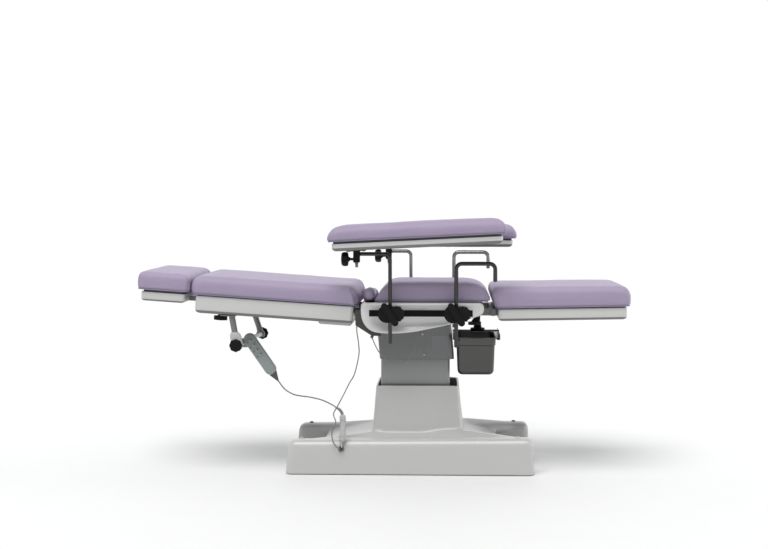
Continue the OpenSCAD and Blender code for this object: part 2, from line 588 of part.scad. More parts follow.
// armrest frame: origin on the post's level end
module arm_at(px, s, zb, tilt) { side(s) translate([px, -post_y, zb]) rotate([0, -tilt, 0]) translate([0, 0, 0]) children(); }
module arm_shell(px, s, zb, tilt, hook) {
    o = -(arm_y - post_y); z0 = s < 0 ? 21 : 17.5;
    arm_at(px, s, zb, tilt) {
        color(shellc) difference() {
            tray([-218, o - arm_w / 2 + 8, z0], [434, o + arm_w / 2 - 8, z0 + 29], 12, 4);
        }
        color(black) bx([-213, o - arm_w / 2 + 13, z0 + 22], [429, o + arm_w / 2 - 13, z0 + 37.9]);
    }
    color(black) side(s) translate([px - hook, -post_y, zb]) difference() {
        bx([0, -14, -33], [26, 14, s < 0 ? 17 : 20]);
        rodx(-1, 27, post_d / 2 + 0.06);
        translate([0, 0, -20]) rodx(-1, 27, 5.06);
    }
}
module arm_pad(px, s, zb, tilt) {
    o = -(arm_y - post_y); z0 = s < 0 ? 59 : 55.5;
    color(lavender) arm_at(px, s, zb, tilt) hull() {
        for (x = [-212, 426], y = [-arm_w / 2 + 20, arm_w / 2 - 20]) translate([x, o + y, z0 + 42]) sphere(20, $fn = 24);
        for (x = [-224, 436], y = [-arm_w / 2 + 12, arm_w / 2 - 12]) translate([x, o + y, z0 + 12]) sphere(12, $fn = 24);
    }
}
module arm_knob(px, s, zb, hook) {
    color(black) side(s) translate([px - hook, -post_y, zb - 20]) rotate([0, -90, 0]) {
        translate([0, 0, 22.5]) star(27, 28, 16, 22, 7);
        translate([0, 0, -24]) cylinder(r = 5, h = 30);
    }
}
module handle(px, s, zt) {
    r = 22; w = s < 0 ? 150 : 146; d = handle_d / 2;
    color(steel) side(s) translate([px, -post_y, 0]) {
        translate([0, 0, zt - 320]) cylinder(r = d, h = 320 - r);
        translate([r, 0, zt - r]) rotate([90, 0, 0]) rotate([0, 0, 90]) rotate_extrude(angle = 90) translate([r, 0]) circle(d);
        translate([0, 0, zt]) rodx(r, w - r, d);
        translate([w - r, 0, zt - r]) rotate([90, 0, 0]) rotate_extrude(angle = 90) translate([r, 0]) circle(d);
        translate([w, 0, zt - 66]) cylinder(r = d, h = 66 - r);
    }
}
module near_arm_clamp() { clamp(near_ax, -1, post_d); }
module near_arm_wing() { wing(near_ax, -1); }
module near_arm_post() { post(near_ax, -1, arm_bar_near, 138); }
module near_arm_shell() { arm_shell(near_ax, -1, arm_bar_near, arm_tilt, 142); }
module near_arm_pad() { arm_pad(near_ax, -1, arm_bar_near, arm_tilt); }
module near_arm_knob() { arm_knob(near_ax, -1, arm_bar_near, 142); }
module near_handle_clamp() { clamp(near_hx, -1, handle_d); }
module near_handle_wing() { wing(near_hx, -1); }
module near_handle() { handle(near_hx, -1, 834); }
module far_arm_clamp() { clamp(far_ax, 1, post_d); }
module far_arm_wing() { wing(far_ax, 1); }
module far_arm_post() { post(far_ax, 1, arm_bar_far, 104); }
module far_arm_shell() { arm_shell(far_ax, 1, arm_bar_far, 0, 108); }
module far_arm_pad() { arm_pad(far_ax, 1, arm_bar_far, 0); }
module far_arm_knob() { arm_knob(far_ax, 1, arm_bar_far, 108); }
module far_handle_clamp() { clamp(far_hx, 1, handle_d); }
module far_handle_wing() { wing(far_hx, 1); }
module far_handle() { handle(far_hx, 1, 856); }

base_cover();
base_chassis();
base_feet();
cover_screws();
cable_grommet();
mains_inlet();
column_outer();
column_mid_cover();
column_inner();
column_shroud();
seat_frame();
seat_cover();
seat_pad();
side_rails();
basin_hanger();
leg_lock_knob();
cable_arm();
back_actuator();
actuator_rod();
back_frame();
back_shell();
back_pad();
head_lock_knob();
head_frame();
head_shell();
head_pad();
leg_frame();
leg_shell();
leg_pad();
basin();
roll_arms();
roll_bar();
roll_knobs();
handset();
rocker_1();
rocker_2();
rocker_3();
rocker_4();
handset_cord();
curly_cord();
back_cable();
motor_cable();
near_arm_clamp();
near_arm_wing();
near_arm_post();
near_arm_shell();
near_arm_pad();
near_arm_knob();
near_handle_clamp();
near_handle_wing();
near_handle();
far_arm_clamp();
far_arm_wing();
far_arm_post();
far_arm_shell();
far_arm_pad();
far_arm_knob();
far_handle_clamp();
far_handle_wing();
far_handle();
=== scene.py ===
import bpy
import bmesh
import json
import math
import numpy as np
from mathutils import Vector, Matrix, noise

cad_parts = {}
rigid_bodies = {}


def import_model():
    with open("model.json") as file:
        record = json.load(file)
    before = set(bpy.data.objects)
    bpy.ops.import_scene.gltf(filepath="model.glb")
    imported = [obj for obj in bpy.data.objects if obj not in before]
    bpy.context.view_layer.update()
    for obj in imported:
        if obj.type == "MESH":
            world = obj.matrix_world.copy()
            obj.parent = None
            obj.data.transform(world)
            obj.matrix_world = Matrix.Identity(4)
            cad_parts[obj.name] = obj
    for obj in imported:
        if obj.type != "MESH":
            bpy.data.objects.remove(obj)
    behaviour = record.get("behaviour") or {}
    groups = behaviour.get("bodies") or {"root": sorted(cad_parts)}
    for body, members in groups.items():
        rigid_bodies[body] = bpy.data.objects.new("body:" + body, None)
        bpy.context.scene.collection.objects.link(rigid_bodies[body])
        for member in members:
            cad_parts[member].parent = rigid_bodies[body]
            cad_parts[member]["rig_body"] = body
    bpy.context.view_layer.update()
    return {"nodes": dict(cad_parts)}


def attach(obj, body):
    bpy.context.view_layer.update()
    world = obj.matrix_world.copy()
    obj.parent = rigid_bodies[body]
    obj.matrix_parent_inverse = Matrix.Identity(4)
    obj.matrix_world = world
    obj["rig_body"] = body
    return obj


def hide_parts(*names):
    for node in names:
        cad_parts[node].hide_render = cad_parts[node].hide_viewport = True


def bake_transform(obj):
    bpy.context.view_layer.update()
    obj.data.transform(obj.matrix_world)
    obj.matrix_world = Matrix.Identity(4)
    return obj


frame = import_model()
SC = bpy.context.scene
MM = 0.001

# ---------------------------------------------------------------- camera, floor, lights
YAW, PIT = math.radians(2.28), math.radians(2.7)
cam_d = bpy.data.cameras.new("cam")
cam = bpy.data.objects.new("cam", cam_d)
SC.collection.objects.link(cam)
look = Vector((-math.sin(YAW) * math.cos(PIT), math.cos(YAW) * math.cos(PIT), -math.sin(PIT)))
cam.location = Vector((145.1, -6431.5, 1079.2)) * MM
cam.rotation_euler = look.to_track_quat("-Z", "Y").to_euler()
cam_d.sensor_width = 36.0
cam_d.lens = 1582.0 / 768.0 * 36.0
cam_d.clip_end = 60
SC.camera = cam


# ---------------------------------------------------------------- mesh helpers (millimetres in, metres out)
def new_obj(name, verts, faces, mat=None, scale=MM):
    me = bpy.data.meshes.new(name)
    v = np.asarray(verts, float) * scale
    me.from_pydata([tuple(p) for p in v], [], faces)
    me.validate()
    ob = bpy.data.objects.new(name, me)
    SC.collection.objects.link(ob)
    if mat:
        me.materials.append(mat)
    return ob


def smooth(ob, angle=35.0, normals=True):
    """Smooth shading, sharp where faces meet at more than angle."""
    bm = bmesh.new()
    bm.from_mesh(ob.data)
    bmesh.ops.recalc_face_normals(bm, faces=bm.faces)
    lim = math.radians(angle)
    for f in bm.faces:
        f.smooth = True
    for e in bm.edges:
        e.smooth = not (len(e.link_faces) == 2 and e.calc_face_angle(0) > lim)
    bm.to_mesh(ob.data)
    bm.free()
    return ob


def soften(ob, width=0.8, segs=2, angle=28.0, weld=1e-6, dissolve=0.6):
    """Rounds the sharp edges of a machined or moulded piece."""
    bm = bmesh.new()
    bm.from_mesh(ob.data)
    bmesh.ops.remove_doubles(bm, verts=bm.verts, dist=weld)
    if dissolve:
        bmesh.ops.dissolve_limit(bm, angle_limit=math.radians(dissolve), verts=bm.verts, edges=bm.edges)
    bmesh.ops.recalc_face_normals(bm, faces=bm.faces)
    lim = math.radians(angle)
    edges = [e for e in bm.edges if len(e.link_faces) == 2 and e.calc_face_angle(0) > lim]
    if edges and width:
        bmesh.ops.bevel(bm, geom=edges, offset=width * MM, offset_type="OFFSET", segments=segs, profile=0.5, affect="EDGES", clamp_overlap=True)
    for f in bm.faces:
        f.smooth = True
    for e in bm.edges:
        e.smooth = not (len(e.link_faces) == 2 and e.calc_face_angle(0) > math.radians(50))
    bm.to_mesh(ob.data)
    bm.free()
    wn = ob.modifiers.new("wn", "WEIGHTED_NORMAL")
    wn.keep_sharp = True
    wn.weight = 80
    return ob


def from_cad(node, mat, width=0.8, segs=2, angle=28.0, name=None, dissolve=0.6):
    src = frame["nodes"][node]
    ob = bpy.data.objects.new(name or "v_" + node, src.data.copy())
    SC.collection.objects.link(ob)
    ob.data.materials.clear()
    ob.data.materials.append(mat)
    soften(ob, width, segs, angle, dissolve=dissolve)
    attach(ob, src["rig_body"])
    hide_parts(node)
    return ob


def use_cad(node, mat):
    ob = frame["nodes"][node]
    ob.data.materials.clear()
    ob.data.materials.append(mat)
    m = ob.modifiers.new("bv", "BEVEL")
    m.width = 0.0008
    m.segments = 2
    m.limit_method = "ANGLE"
    m.angle_limit = math.radians(30)
    m.use_clamp_overlap = True
    return ob


def to_world(verts, m):
    v = np.asarray(verts, float)
    a = np.array(m, float)
    return v @ a[:3, :3].T + a[:3, 3]


def ring_faces(nr, n, close_ends=True, closed=False):
    f = []
    for i in range(nr - 1):
        for k in range(n):
            f.append((i * n + k, i * n + (k + 1) % n, (i + 1) * n + (k + 1) % n, (i + 1) * n + k))
    if closed:
        for k in range(n):
            f.append(((nr - 1) * n + k, (nr - 1) * n + (k + 1) % n, (k + 1) % n, k))
    elif close_ends:
        f.append(tuple(range(n - 1, -1, -1)))
        f.append(tuple((nr - 1) * n + k for k in range(n)))
    return f


def rrect(x0, x1, y0, y1, r, n=10, power=2.0):
    """Points round a rectangle with rounded corners, starting at +x, anticlockwise."""
    r = max(0.05, min(r, (x1 - x0) / 2 - 0.01, (y1 - y0) / 2 - 0.01))
    pts = []
    for cx, cy, a0 in ((x1 - r, y1 - r, 0), (x0 + r, y1 - r, 90), (x0 + r, y0 + r, 180), (x1 - r, y0 + r, 270)):
        for i in range(n + 1):
            a = math.radians(a0 + 90.0 * i / n)
            pts.append((cx + r * math.cos(a), cy + r * math.sin(a)))
    return pts


def split_long(pts, step):
    """Adds points on the long straight parts of a closed 2D outline; the count depends only on the outline's first use."""
    out = []
    m = len(pts)
    for i in range(m):
        a, b = pts[i], pts[(i + 1) % m]
        out.append(a)
        k = int(math.hypot(b[0] - a[0], b[1] - a[1]) // step)
        for j in range(1, k + 1):
            t = j / (k + 1)
            out.append((a[0] + (b[0] - a[0]) * t, a[1] + (b[1] - a[1]) * t))
    return out


def loft(levels, n=10, caps=(True, True)):
    """levels: (x0, x1, y0, y1, r, z) rounded rectangles stacked; returns verts and faces."""
    verts, cnt = [], None
    for x0, x1, y0, y1, r, z in levels:
        p = rrect(x0, x1, y0, y1, r, n)
        cnt = len(p)
        verts += [(a, b, z) for a, b in p]
    f = ring_faces(len(levels), cnt, False)
    if caps[0]:
        f.append(tuple(range(cnt - 1, -1, -1)))
    if caps[1]:
        f.append(tuple((len(levels) - 1) * cnt + k for k in range(cnt)))
    return verts, f


def arc_levels(z0, z1, inset0, inset1, k=6, kind="out"):
    """Insets for a quarter-round between z0 (inset0) and z1 (inset1)."""
    res = []
    for i in range(k + 1):
        a = math.pi / 2 * i / k
        if kind == "out":
            res.append((inset0 + (inset1 - inset0) * math.sin(a), z0 + (z1 - z0) * (1 - math.cos(a))))
        else:
            res.append((inset0 + (inset1 - inset0) * (1 - math.cos(a)), z0 + (z1 - z0) * math.sin(a)))
    return res


def lathe(profile, n=48, m=Matrix.Identity(4)):
    """profile: (r, z) from one end on the axis to the other; turned about Z, then moved by m."""
    verts, rings = [], []
    for r, z in profile:
        rings.append([(max(r, 1e-4) * math.cos(2 * math.pi * k / n), max(r, 1e-4) * math.sin(2 * math.pi * k / n), z) for k in range(n)])
    verts = [p for r in rings for p in r]
    return to_world(verts, m), ring_faces(len(rings), n)


def frames(pts):
    P = [Vector(p) for p in pts]
    n = len(P)
    T = [(P[min(i + 1, n - 1)] - P[max(i - 1, 0)]).normalized() for i in range(n)]
    u = T[0].orthogonal().normalized()
    out = []
    for i in range(n):
        u = (u - T[i] * u.dot(T[i])).normalized()
        out.append((P[i], T[i], u, T[i].cross(u)))
    return out


def tube(pts, r, n=16, caps=True, dome=0.0):
    """Round tube along points; r is a number or a list, one per point."""
    rr = r if hasattr(r, "__len__") else [r] * len(pts)
    fr = frames(pts)
    rows = []
    if dome:
        P, T, u, v = fr[0]
        for a in (80, 55, 30):
            q = rr[0] * math.cos(math.radians(a))
            rows.append((P - T * (dome * math.sin(math.radians(a))), q, u, v))
    for i, (P, T, u, v) in enumerate(fr):
        rows.append((P, rr[i], u, v))
    if dome:
        P, T, u, v = fr[-1]
        for a in (30, 55, 80):
            q = rr[-1] * math.cos(math.radians(a))
            rows.append((P + T * (dome * math.sin(math.radians(a))), q, u, v))
    verts = []
    for P, q, u, v in rows:
        for k in range(n):
            a = 2 * math.pi * k / n
            verts.append(tuple(P + q * (math.cos(a) * u + math.sin(a) * v)))
    return verts, ring_faces(len(rows), n, caps)


def catmull(pts, step=4.0, closed=False):
    P = [Vector(p) for p in pts]
    n = len(P)
    out = []
    for i in range(n - 1):
        a, b, c, d = P[max(i - 1, 0)], P[i], P[i + 1], P[min(i + 2, n - 1)]
        k = max(2, int((c - b).length / step))
        for j in range(k):
            t = j / k
            out.append(0.5 * ((2 * b) + (c - a) * t + (2 * a - 5 * b + 4 * c - d) * t * t + (3 * b - a - 3 * c + d) * t ** 3))
    out.append(P[-1])
    return out


def bend_path(pts, rads, k=8):
    """Polyline with rounded corners; rads has one radius per inner corner."""
    P = [Vector(p) for p in pts]
    out = [P[0]]
    for i in range(1, len(P) - 1):
        a, b, c = P[i - 1], P[i], P[i + 1]
        u, w = (a - b).normalized(), (c - b).normalized()
        half = u.angle(w) / 2
        d = rads[i - 1] / math.tan(half)
        cen = b + (u + w).normalized() * (rads[i - 1] / math.sin(half))
        s, e = b + u * d, b + w * d
        for j in range(k + 1):
            t = j / k
            v0, v1 = s - cen, e - cen
            ang = v0.angle(v1)
            q = (v0 * math.sin((1 - t) * ang) + v1 * math.sin(t * ang)) / math.sin(ang)
            out.append(cen + q)
    out.append(P[-1])
    return out


def extrude2d(poly, z0, z1, m=Matrix.Identity(4)):
    n = len(poly)
    verts = [(x, y, z0) for x, y in poly] + [(x, y, z1) for x, y in poly]
    f = [tuple(range(n - 1, -1, -1)), tuple(range(n, 2 * n))]
    f += [(k, (k + 1) % n, n + (k + 1) % n, n + k) for k in range(n)]
    return to_world(verts, m), f


def boxm(a, b, m=Matrix.Identity(4)):
    v = [(x, y, z) for z in (a[2], b[2]) for y in (a[1], b[1]) for x in (a[0], b[0])]
    f = [(0, 2, 3, 1), (4, 5, 7, 6), (0, 1, 5, 4), (2, 6, 7, 3), (0, 4, 6, 2), (1, 3, 7, 5)]
    return to_world(v, m), f


def merge(*parts):
    V, F, o = [], [], 0
    for v, f in parts:
        V += [tuple(p) for p in v]
        F += [tuple(i + o for i in q) for q in f]
        o += len(v)
    return V, F


def rot(ax, deg):
    return Matrix.Rotation(math.radians(deg), 4, ax)


def mv(x, y, z):
    return Matrix.Translation((x, y, z))


def apply_mods(ob):
    dg = bpy.context.evaluated_depsgraph_get()
    me = bpy.data.meshes.new_from_object(ob.evaluated_get(dg), depsgraph=dg)
    mats = [m for m in ob.data.materials]
    ob.modifiers.clear()
    ob.data = me
    if not me.materials:
        for m in mats:
            me.materials.append(m)
    return ob


def boolean(ob, cutters, op="DIFFERENCE"):
    for c in cutters:
        m = ob.modifiers.new("b", "BOOLEAN")
        m.operation = op
        m.solver = "EXACT"
        m.object = c
    bpy.context.view_layer.update()
    apply_mods(ob)
    for c in cutters:
        bpy.data.objects.remove(c)
    return ob


# ---------------------------------------------------------------- materials
def mat(name, color, rough=0.5, metal=0.0, grain=None, bump=0.0, rvar=0.05, cvar=0.04, coat=0.0, dust=0.0, cell=None, aniso=None, smudge=0.0, sheen=0.0, ior=1.5, spec=0.5, calm=False):
    """A procedural material. grain: noise scale of the fine bump (1/m), cell: voronoi scale for leather grain."""
    m = bpy.data.materials.new(name)
    m.use_nodes = True
    nt = m.node_tree
    N, L = nt.nodes, nt.links
    b = N["Principled BSDF"]
    tc = N.new("ShaderNodeTexCoord")
    src = tc.outputs["Object"]
    b.inputs["Metallic"].default_value = metal
    b.inputs["IOR"].default_value = ior
    b.inputs["Specular IOR Level"].default_value = spec
    b.inputs["Coat Weight"].default_value = coat
    b.inputs["Coat Roughness"].default_value = 0.12
    if sheen:
        b.inputs["Sheen Weight"].default_value = sheen
        b.inputs["Sheen Roughness"].default_value = 0.5
    # colour: slow variation, plus a trace of dust on what faces up
    n1 = N.new("ShaderNodeTexNoise")
    n1.inputs["Scale"].default_value = 7.0
    n1.inputs["Detail"].default_value = 1.0 if calm else 5.0
    L.new(src, n1.inputs["Vector"])
    mr = N.new("ShaderNodeMapRange")
    mr.inputs["From Min"].default_value = 0.0 if calm else 0.3
    mr.inputs["From Max"].default_value = 1.0 if calm else 0.7
    mr.inputs["To Min"].default_value = 1.0 - cvar
    mr.inputs["To Max"].default_value = 1.0 + cvar
    L.new(n1.outputs["Fac"], mr.inputs["Value"])
    fac = mr.outputs["Result"]
    if calm:
        nf = N.new("ShaderNodeTexNoise")
        nf.inputs["Scale"].default_value = 520.0
        nf.inputs["Detail"].default_value = 2.0
        L.new(src, nf.inputs["Vector"])
        rf = N.new("ShaderNodeMapRange")
        rf.inputs["From Min"].default_value = 0.2
        rf.inputs["From Max"].default_value = 0.8
        rf.inputs["To Min"].default_value = 0.965
        rf.inputs["To Max"].default_value = 1.035
        L.new(nf.outputs["Fac"], rf.inputs["Value"])
        ff = N.new("ShaderNodeMath")
        ff.operation = "MULTIPLY"
        L.new(fac, ff.inputs[0])
        L.new(rf.outputs["Result"], ff.inputs[1])
        fac = ff.outputs[0]
    mul = N.new("ShaderNodeVectorMath")
    mul.operation = "SCALE"
    mul.inputs[0].default_value = color
    L.new(fac, mul.inputs["Scale"])
    col = mul.outputs["Vector"]
    if dust:
        geo = N.new("ShaderNodeNewGeometry")
        sep = N.new("ShaderNodeSeparateXYZ")
        L.new(geo.outputs["Normal"], sep.inputs[0])
        up = N.new("ShaderNodeMapRange")
        up.inputs["From Min"].default_value = 0.5
        up.inputs["From Max"].default_value = 1.0
        up.inputs["To Max"].default_value = dust
        L.new(sep.outputs["Z"], up.inputs["Value"])
        n3 = N.new("ShaderNodeTexNoise")
        n3.inputs["Scale"].default_value = 22.0
        n3.inputs["Detail"].default_value = 8.0
        L.new(src, n3.inputs["Vector"])
        mm_ = N.new("ShaderNodeMath")
        mm_.operation = "MULTIPLY"
        L.new(up.outputs["Result"], mm_.inputs[0])
        L.new(n3.outputs["Fac"], mm_.inputs[1])
        mix = N.new("ShaderNodeMix")
        mix.data_type = "RGBA"
        L.new(mm_.outputs[0], mix.inputs["Factor"])
        L.new(col, mix.inputs[6])
        mix.inputs[7].default_value = (0.55, 0.53, 0.50, 1)
        col = mix.outputs[2]
    L.new(col, b.inputs["Base Color"])
    # roughness: fine and slow variation
    n2 = N.new("ShaderNodeTexNoise")
    n2.inputs["Scale"].default_value = 6.0 if calm else 45.0 if not smudge else 18.0
    n2.inputs["Detail"].default_value = 1.0 if calm else 6.0
    n2.inputs["Roughness"].default_value = 0.65
    L.new(src, n2.inputs["Vector"])
    r2 = N.new("ShaderNodeMapRange")
    r2.inputs["From Min"].default_value = 0.0 if calm else 0.3
    r2.inputs["From Max"].default_value = 1.0 if calm else 0.7
    r2.inputs["To Min"].default_value = max(0.02, rough - rvar)
    r2.inputs["To Max"].default_value = rough + rvar + smudge
    L.new(n2.outputs["Fac"], r2.inputs["Value"])
    L.new(r2.outputs["Result"], b.inputs["Roughness"])
    height = None
    if cell:
        mp = N.new("ShaderNodeMapping")
        mp.inputs["Scale"].default_value = (cell, cell, cell)
        L.new(src, mp.inputs["Vector"])
        wn = N.new("ShaderNodeTexNoise")
        wn.inputs["Scale"].default_value = 0.9
        L.new(mp.outputs["Vector"], wn.inputs["Vector"])
        ad = N.new("ShaderNodeVectorMath")
        ad.operation = "ADD"
        L.new(mp.outputs["Vector"], ad.inputs[0])
        L.new(wn.outputs["Color"], ad.inputs[1])
        vo = N.new("ShaderNodeTexVoronoi")
        vo.feature = "DISTANCE_TO_EDGE"
        vo.inputs["Scale"].default_value = 1.0
        L.new(ad.outputs["Vector"], vo.inputs["Vector"])
        vr = N.new("ShaderNodeMapRange")
        vr.inputs["From Max"].default_value = 0.12
        L.new(vo.outputs["Distance"], vr.inputs["Value"])
        height = vr.outputs["Result"]
        # the grain's valleys are a little darker: painted shade in the grain
        dk = N.new("ShaderNodeMapRange")
        dk.inputs["To Min"].default_value = 0.90
        dk.inputs["To Max"].default_value = 1.0
        L.new(height, dk.inputs["Value"])
        sc = N.new("ShaderNodeVectorMath")
        sc.operation = "SCALE"
        L.new(col, sc.inputs[0])
        L.new(dk.outputs["Result"], sc.inputs["Scale"])
        L.new(sc.outputs["Vector"], b.inputs["Base Color"])
    if grain:
        g = N.new("ShaderNodeTexNoise")
        g.inputs["Scale"].default_value = grain
        g.inputs["Detail"].default_value = 3.0
        if aniso:
            mp = N.new("ShaderNodeMapping")
            mp.inputs["Scale"].default_value = aniso
            L.new(src, mp.inputs["Vector"])
            L.new(mp.outputs["Vector"], g.inputs["Vector"])
        else:
            L.new(src, g.inputs["Vector"])
        if height is None:
            height = g.outputs["Fac"]
        else:
            a = N.new("ShaderNodeMath")
            a.operation = "MULTIPLY_ADD"
            a.inputs[1].default_value = 0.5
            L.new(g.outputs["Fac"], a.inputs[0])
            L.new(height, a.inputs[2])
            height = a.outputs[0]
    if height is not None and bump:
        bp = N.new("ShaderNodeBump")
        bp.inputs["Strength"].default_value = 1.0
        bp.inputs["Distance"].default_value = bump
        L.new(height, bp.inputs["Height"])
        L.new(bp.outputs["Normal"], b.inputs["Normal"])
    return m


M = {
    "vinyl": mat("vinyl", (0.325, 0.276, 0.385), 0.46, grain=1500, bump=0.00008, cell=620, rvar=0.05, cvar=0.025, sheen=0.03, ior=1.45, spec=0.30),
    "vinyl_seam": mat("vinyl_seam", (0.235, 0.190, 0.295), 0.5, grain=1500, bump=0.00008, cell=620, cvar=0.05),
    "thread": mat("thread", (0.44, 0.38, 0.50), 0.7, grain=3000, bump=0.0001, cvar=0.1),
    "white": mat("white_shell", (0.505, 0.510, 0.498), 0.30, rvar=0.03, cvar=0.012, coat=0.10, calm=True),
    # painted light: the seat tub is the shells' white plastic, made lighter than the shells
    "seat_white_painted_light": mat("seat_cover_white_painted_light", (0.62, 0.625, 0.615), 0.26, rvar=0.03, cvar=0.010, coat=0.15, calm=True),
    # painted shade: the base is the shells' white plastic, made a little darker than the shells
    "base": mat("base_shell", (0.462, 0.465, 0.457), 0.31, rvar=0.03, cvar=0.008, coat=0.14, calm=True, spec=0.45),
    "dark_under": mat("shell_under", (0.060, 0.060, 0.060), 0.6, grain=700, bump=0.00005, cvar=0.08),
    # painted shade: the column's greys are darkened for the seat's shadow, the upper shroud more than the middle cover
    "shroud": mat("column_shroud", (0.150, 0.155, 0.154), 0.34, 0.35, rvar=0.03, cvar=0.02, coat=0.05, calm=True),
    "column": mat("column_cover", (0.265, 0.274, 0.275), 0.34, 0.35, rvar=0.03, cvar=0.02, coat=0.05, calm=True),
    # painted shade: the darker grey of the shells' turned-in undersides
    "under": mat("shell_underside_painted_shade", (0.185, 0.187, 0.178), 0.5, cvar=0.03, calm=True, spec=0.3),
    # painted shade: the darker grey of the deeper step under the backrest shell
    "cap": mat("shell_step_painted_shade", (0.36, 0.362, 0.355), 0.35, cvar=0.02, calm=True),
    "knuckle": mat("roll_knuckle", (0.46, 0.465, 0.455), 0.32, grain=500, bump=0.000003, cvar=0.02, coat=0.1),
    "label": mat("label_place", (0.172, 0.177, 0.182), 0.45, cvar=0.01, calm=True),
    # painted reflection: the near posts' chrome is darkened to stand in for dark reflections, and the far posts use a
    # paler copy as painted light
    "chrome_painted_dark": mat("chrome_painted_dark", (0.058, 0.058, 0.057), 0.17, 1.0, grain=900, bump=0.000003, rvar=0.04, cvar=0.05, smudge=0.06),
    "chrome_painted_pale": mat("chrome_painted_pale", (0.30, 0.30, 0.285), 0.20, 1.0, grain=900, bump=0.000003, rvar=0.04, cvar=0.05, smudge=0.06),
    "satin": mat("satin_steel", (0.150, 0.151, 0.152), 0.34, 0.8, grain=120, bump=0.000006, rvar=0.06, cvar=0.05, aniso=(14, 14, 1)),
    # painted shade: the pan's steel is darkened for the shadow under the seat
    "pan": mat("pan_steel", (0.092, 0.093, 0.090), 0.30, 1.0, cvar=0.04, calm=True),
    "alu": mat("grey_arm", (0.172, 0.174, 0.167), 0.40, 0.25, grain=500, bump=0.000006, rvar=0.06, cvar=0.05),
    "black": mat("black_plastic", (0.0060, 0.0060, 0.0068), 0.36, grain=900, bump=0.00002, rvar=0.06, cvar=0.15, spec=0.14),
    "blackpaint": mat("black_paint", (0.0045, 0.0045, 0.0050), 0.34, grain=420, bump=0.00001, rvar=0.06, cvar=0.15, spec=0.08),
    "grey": mat("grey_paint", (0.052, 0.053, 0.047), 0.48, cvar=0.07, calm=True, spec=0.3),
    "rubber": mat("rubber", (0.010, 0.010, 0.010), 0.75, grain=800, bump=0.00005, cvar=0.1, spec=0.25),
    "hs": mat("handset_body", (0.245, 0.270, 0.268), 0.36, cvar=0.02, calm=True, coat=0.1),
    "hs_key": mat("handset_key", (0.255, 0.285, 0.280), 0.36, cvar=0.02, calm=True),
    "hs_panel": mat("handset_panel", (0.225, 0.250, 0.248), 0.42, cvar=0.01, calm=True),
    "relief": mat("relief_rubber", (0.085, 0.087, 0.082), 0.55, cvar=0.05, calm=True, spec=0.3),
    "ink": mat("ink_green", (0.045, 0.115, 0.085), 0.5, cvar=0.05, calm=True),
    "ink_red": mat("ink_red", (0.115, 0.004, 0.018), 0.5, cvar=0.05, calm=True),
    "cord": mat("cord_grey", (0.165, 0.165, 0.152), 0.45, grain=900, bump=0.00001, cvar=0.06),
    "coil": mat("cord_pale", (0.46, 0.465, 0.45), 0.38, grain=900, bump=0.00002, cvar=0.05),
    "darkcord": mat("cord_dark", (0.08, 0.08, 0.075), 0.5, grain=900, bump=0.00002, cvar=0.06),
    "screw": mat("screw_zinc", (0.40, 0.40, 0.39), 0.28, 1.0, grain=300, bump=0.00001, cvar=0.05),
    "bronze": mat("contact_brass", (0.62, 0.50, 0.28), 0.3, 1.0, grain=300, bump=0.00001),
}

# ---------------------------------------------------------------- places
AB = mv(-165, 0, 690) @ rot("Y", 3.9)
POST_Y, RZ = 341.0, 640.5
NEAR_AX, NEAR_HX, FAR_AX, FAR_HX = -74.0, 181.0, -9.0, 175.0
BAR_A, BAR_B = Vector((-678, -262, 510)), Vector((-645, 262, 510))


def sgn_noise(p, s, seed=0.0):
    return noise.noise(Vector((p[0] * s + seed, p[1] * s - seed * 0.7, p[2] * s + seed * 1.3)))


def finish(ob, body, *nodes, angle=40, slot=None):
    if angle:
        smooth(ob, angle)
    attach(ob, body)
    if nodes:
        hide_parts(*nodes)
    return ob


# ---------------------------------------------------------------- cords
def round_tube_obj(name, pts, r, mat_, n=12):
    v, f = tube(pts, r, n)
    return smooth(new_obj(name, v, f, mat_), 60)


HC = [(-528, -165, 359.9), (-521, -165, 350), (-512, -167, 338), (-494, -174, 321), (-463, -190, 307), (-432, -202, 302), (-400, -215, 300), (-351, -235, 292), (-313, -250, 278), (-290, -262, 266)]
hc = catmull(HC, 4.0)
cut = min(range(len(hc)), key=lambda i: abs(hc[i].x + 470))
top_part, low_part = hc[:cut + 1], hc[cut:]


# the hand control's cord, in two pieces: its upper part between the hand control and the backrest, its lower part
# between the backrest and the seat
cord_up = round_tube_obj("handset_cord_upper", top_part, 2.7, M["cord"], 14)
cord_lo = round_tube_obj("handset_cord_lower", low_part, 2.7, M["cord"], 14)
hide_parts("handset_cord")
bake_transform(cord_up)
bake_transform(cord_lo)

# joint piece between the plain and the curly part
JP = catmull([(-291, -261.5, 266.6), (-276, -264, 257), (-267, -266, 246), (-263, -268, 234)], 3.0)
jr = []
for i in range(len(JP)):
    t = i / (len(JP) - 1)
    jr.append(3.1 + 2.6 * math.sin(math.pi * min(1, t * 1.6) / 2) + (0.5 if int(t * 16) % 2 == 0 and 0.15 < t < 0.9 else 0.0))
v, f = tube(JP, jr, 20)
joint_piece = smooth(new_obj("cord_joint_piece", v, f, M["cord"]), 60)
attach(joint_piece, "lift")

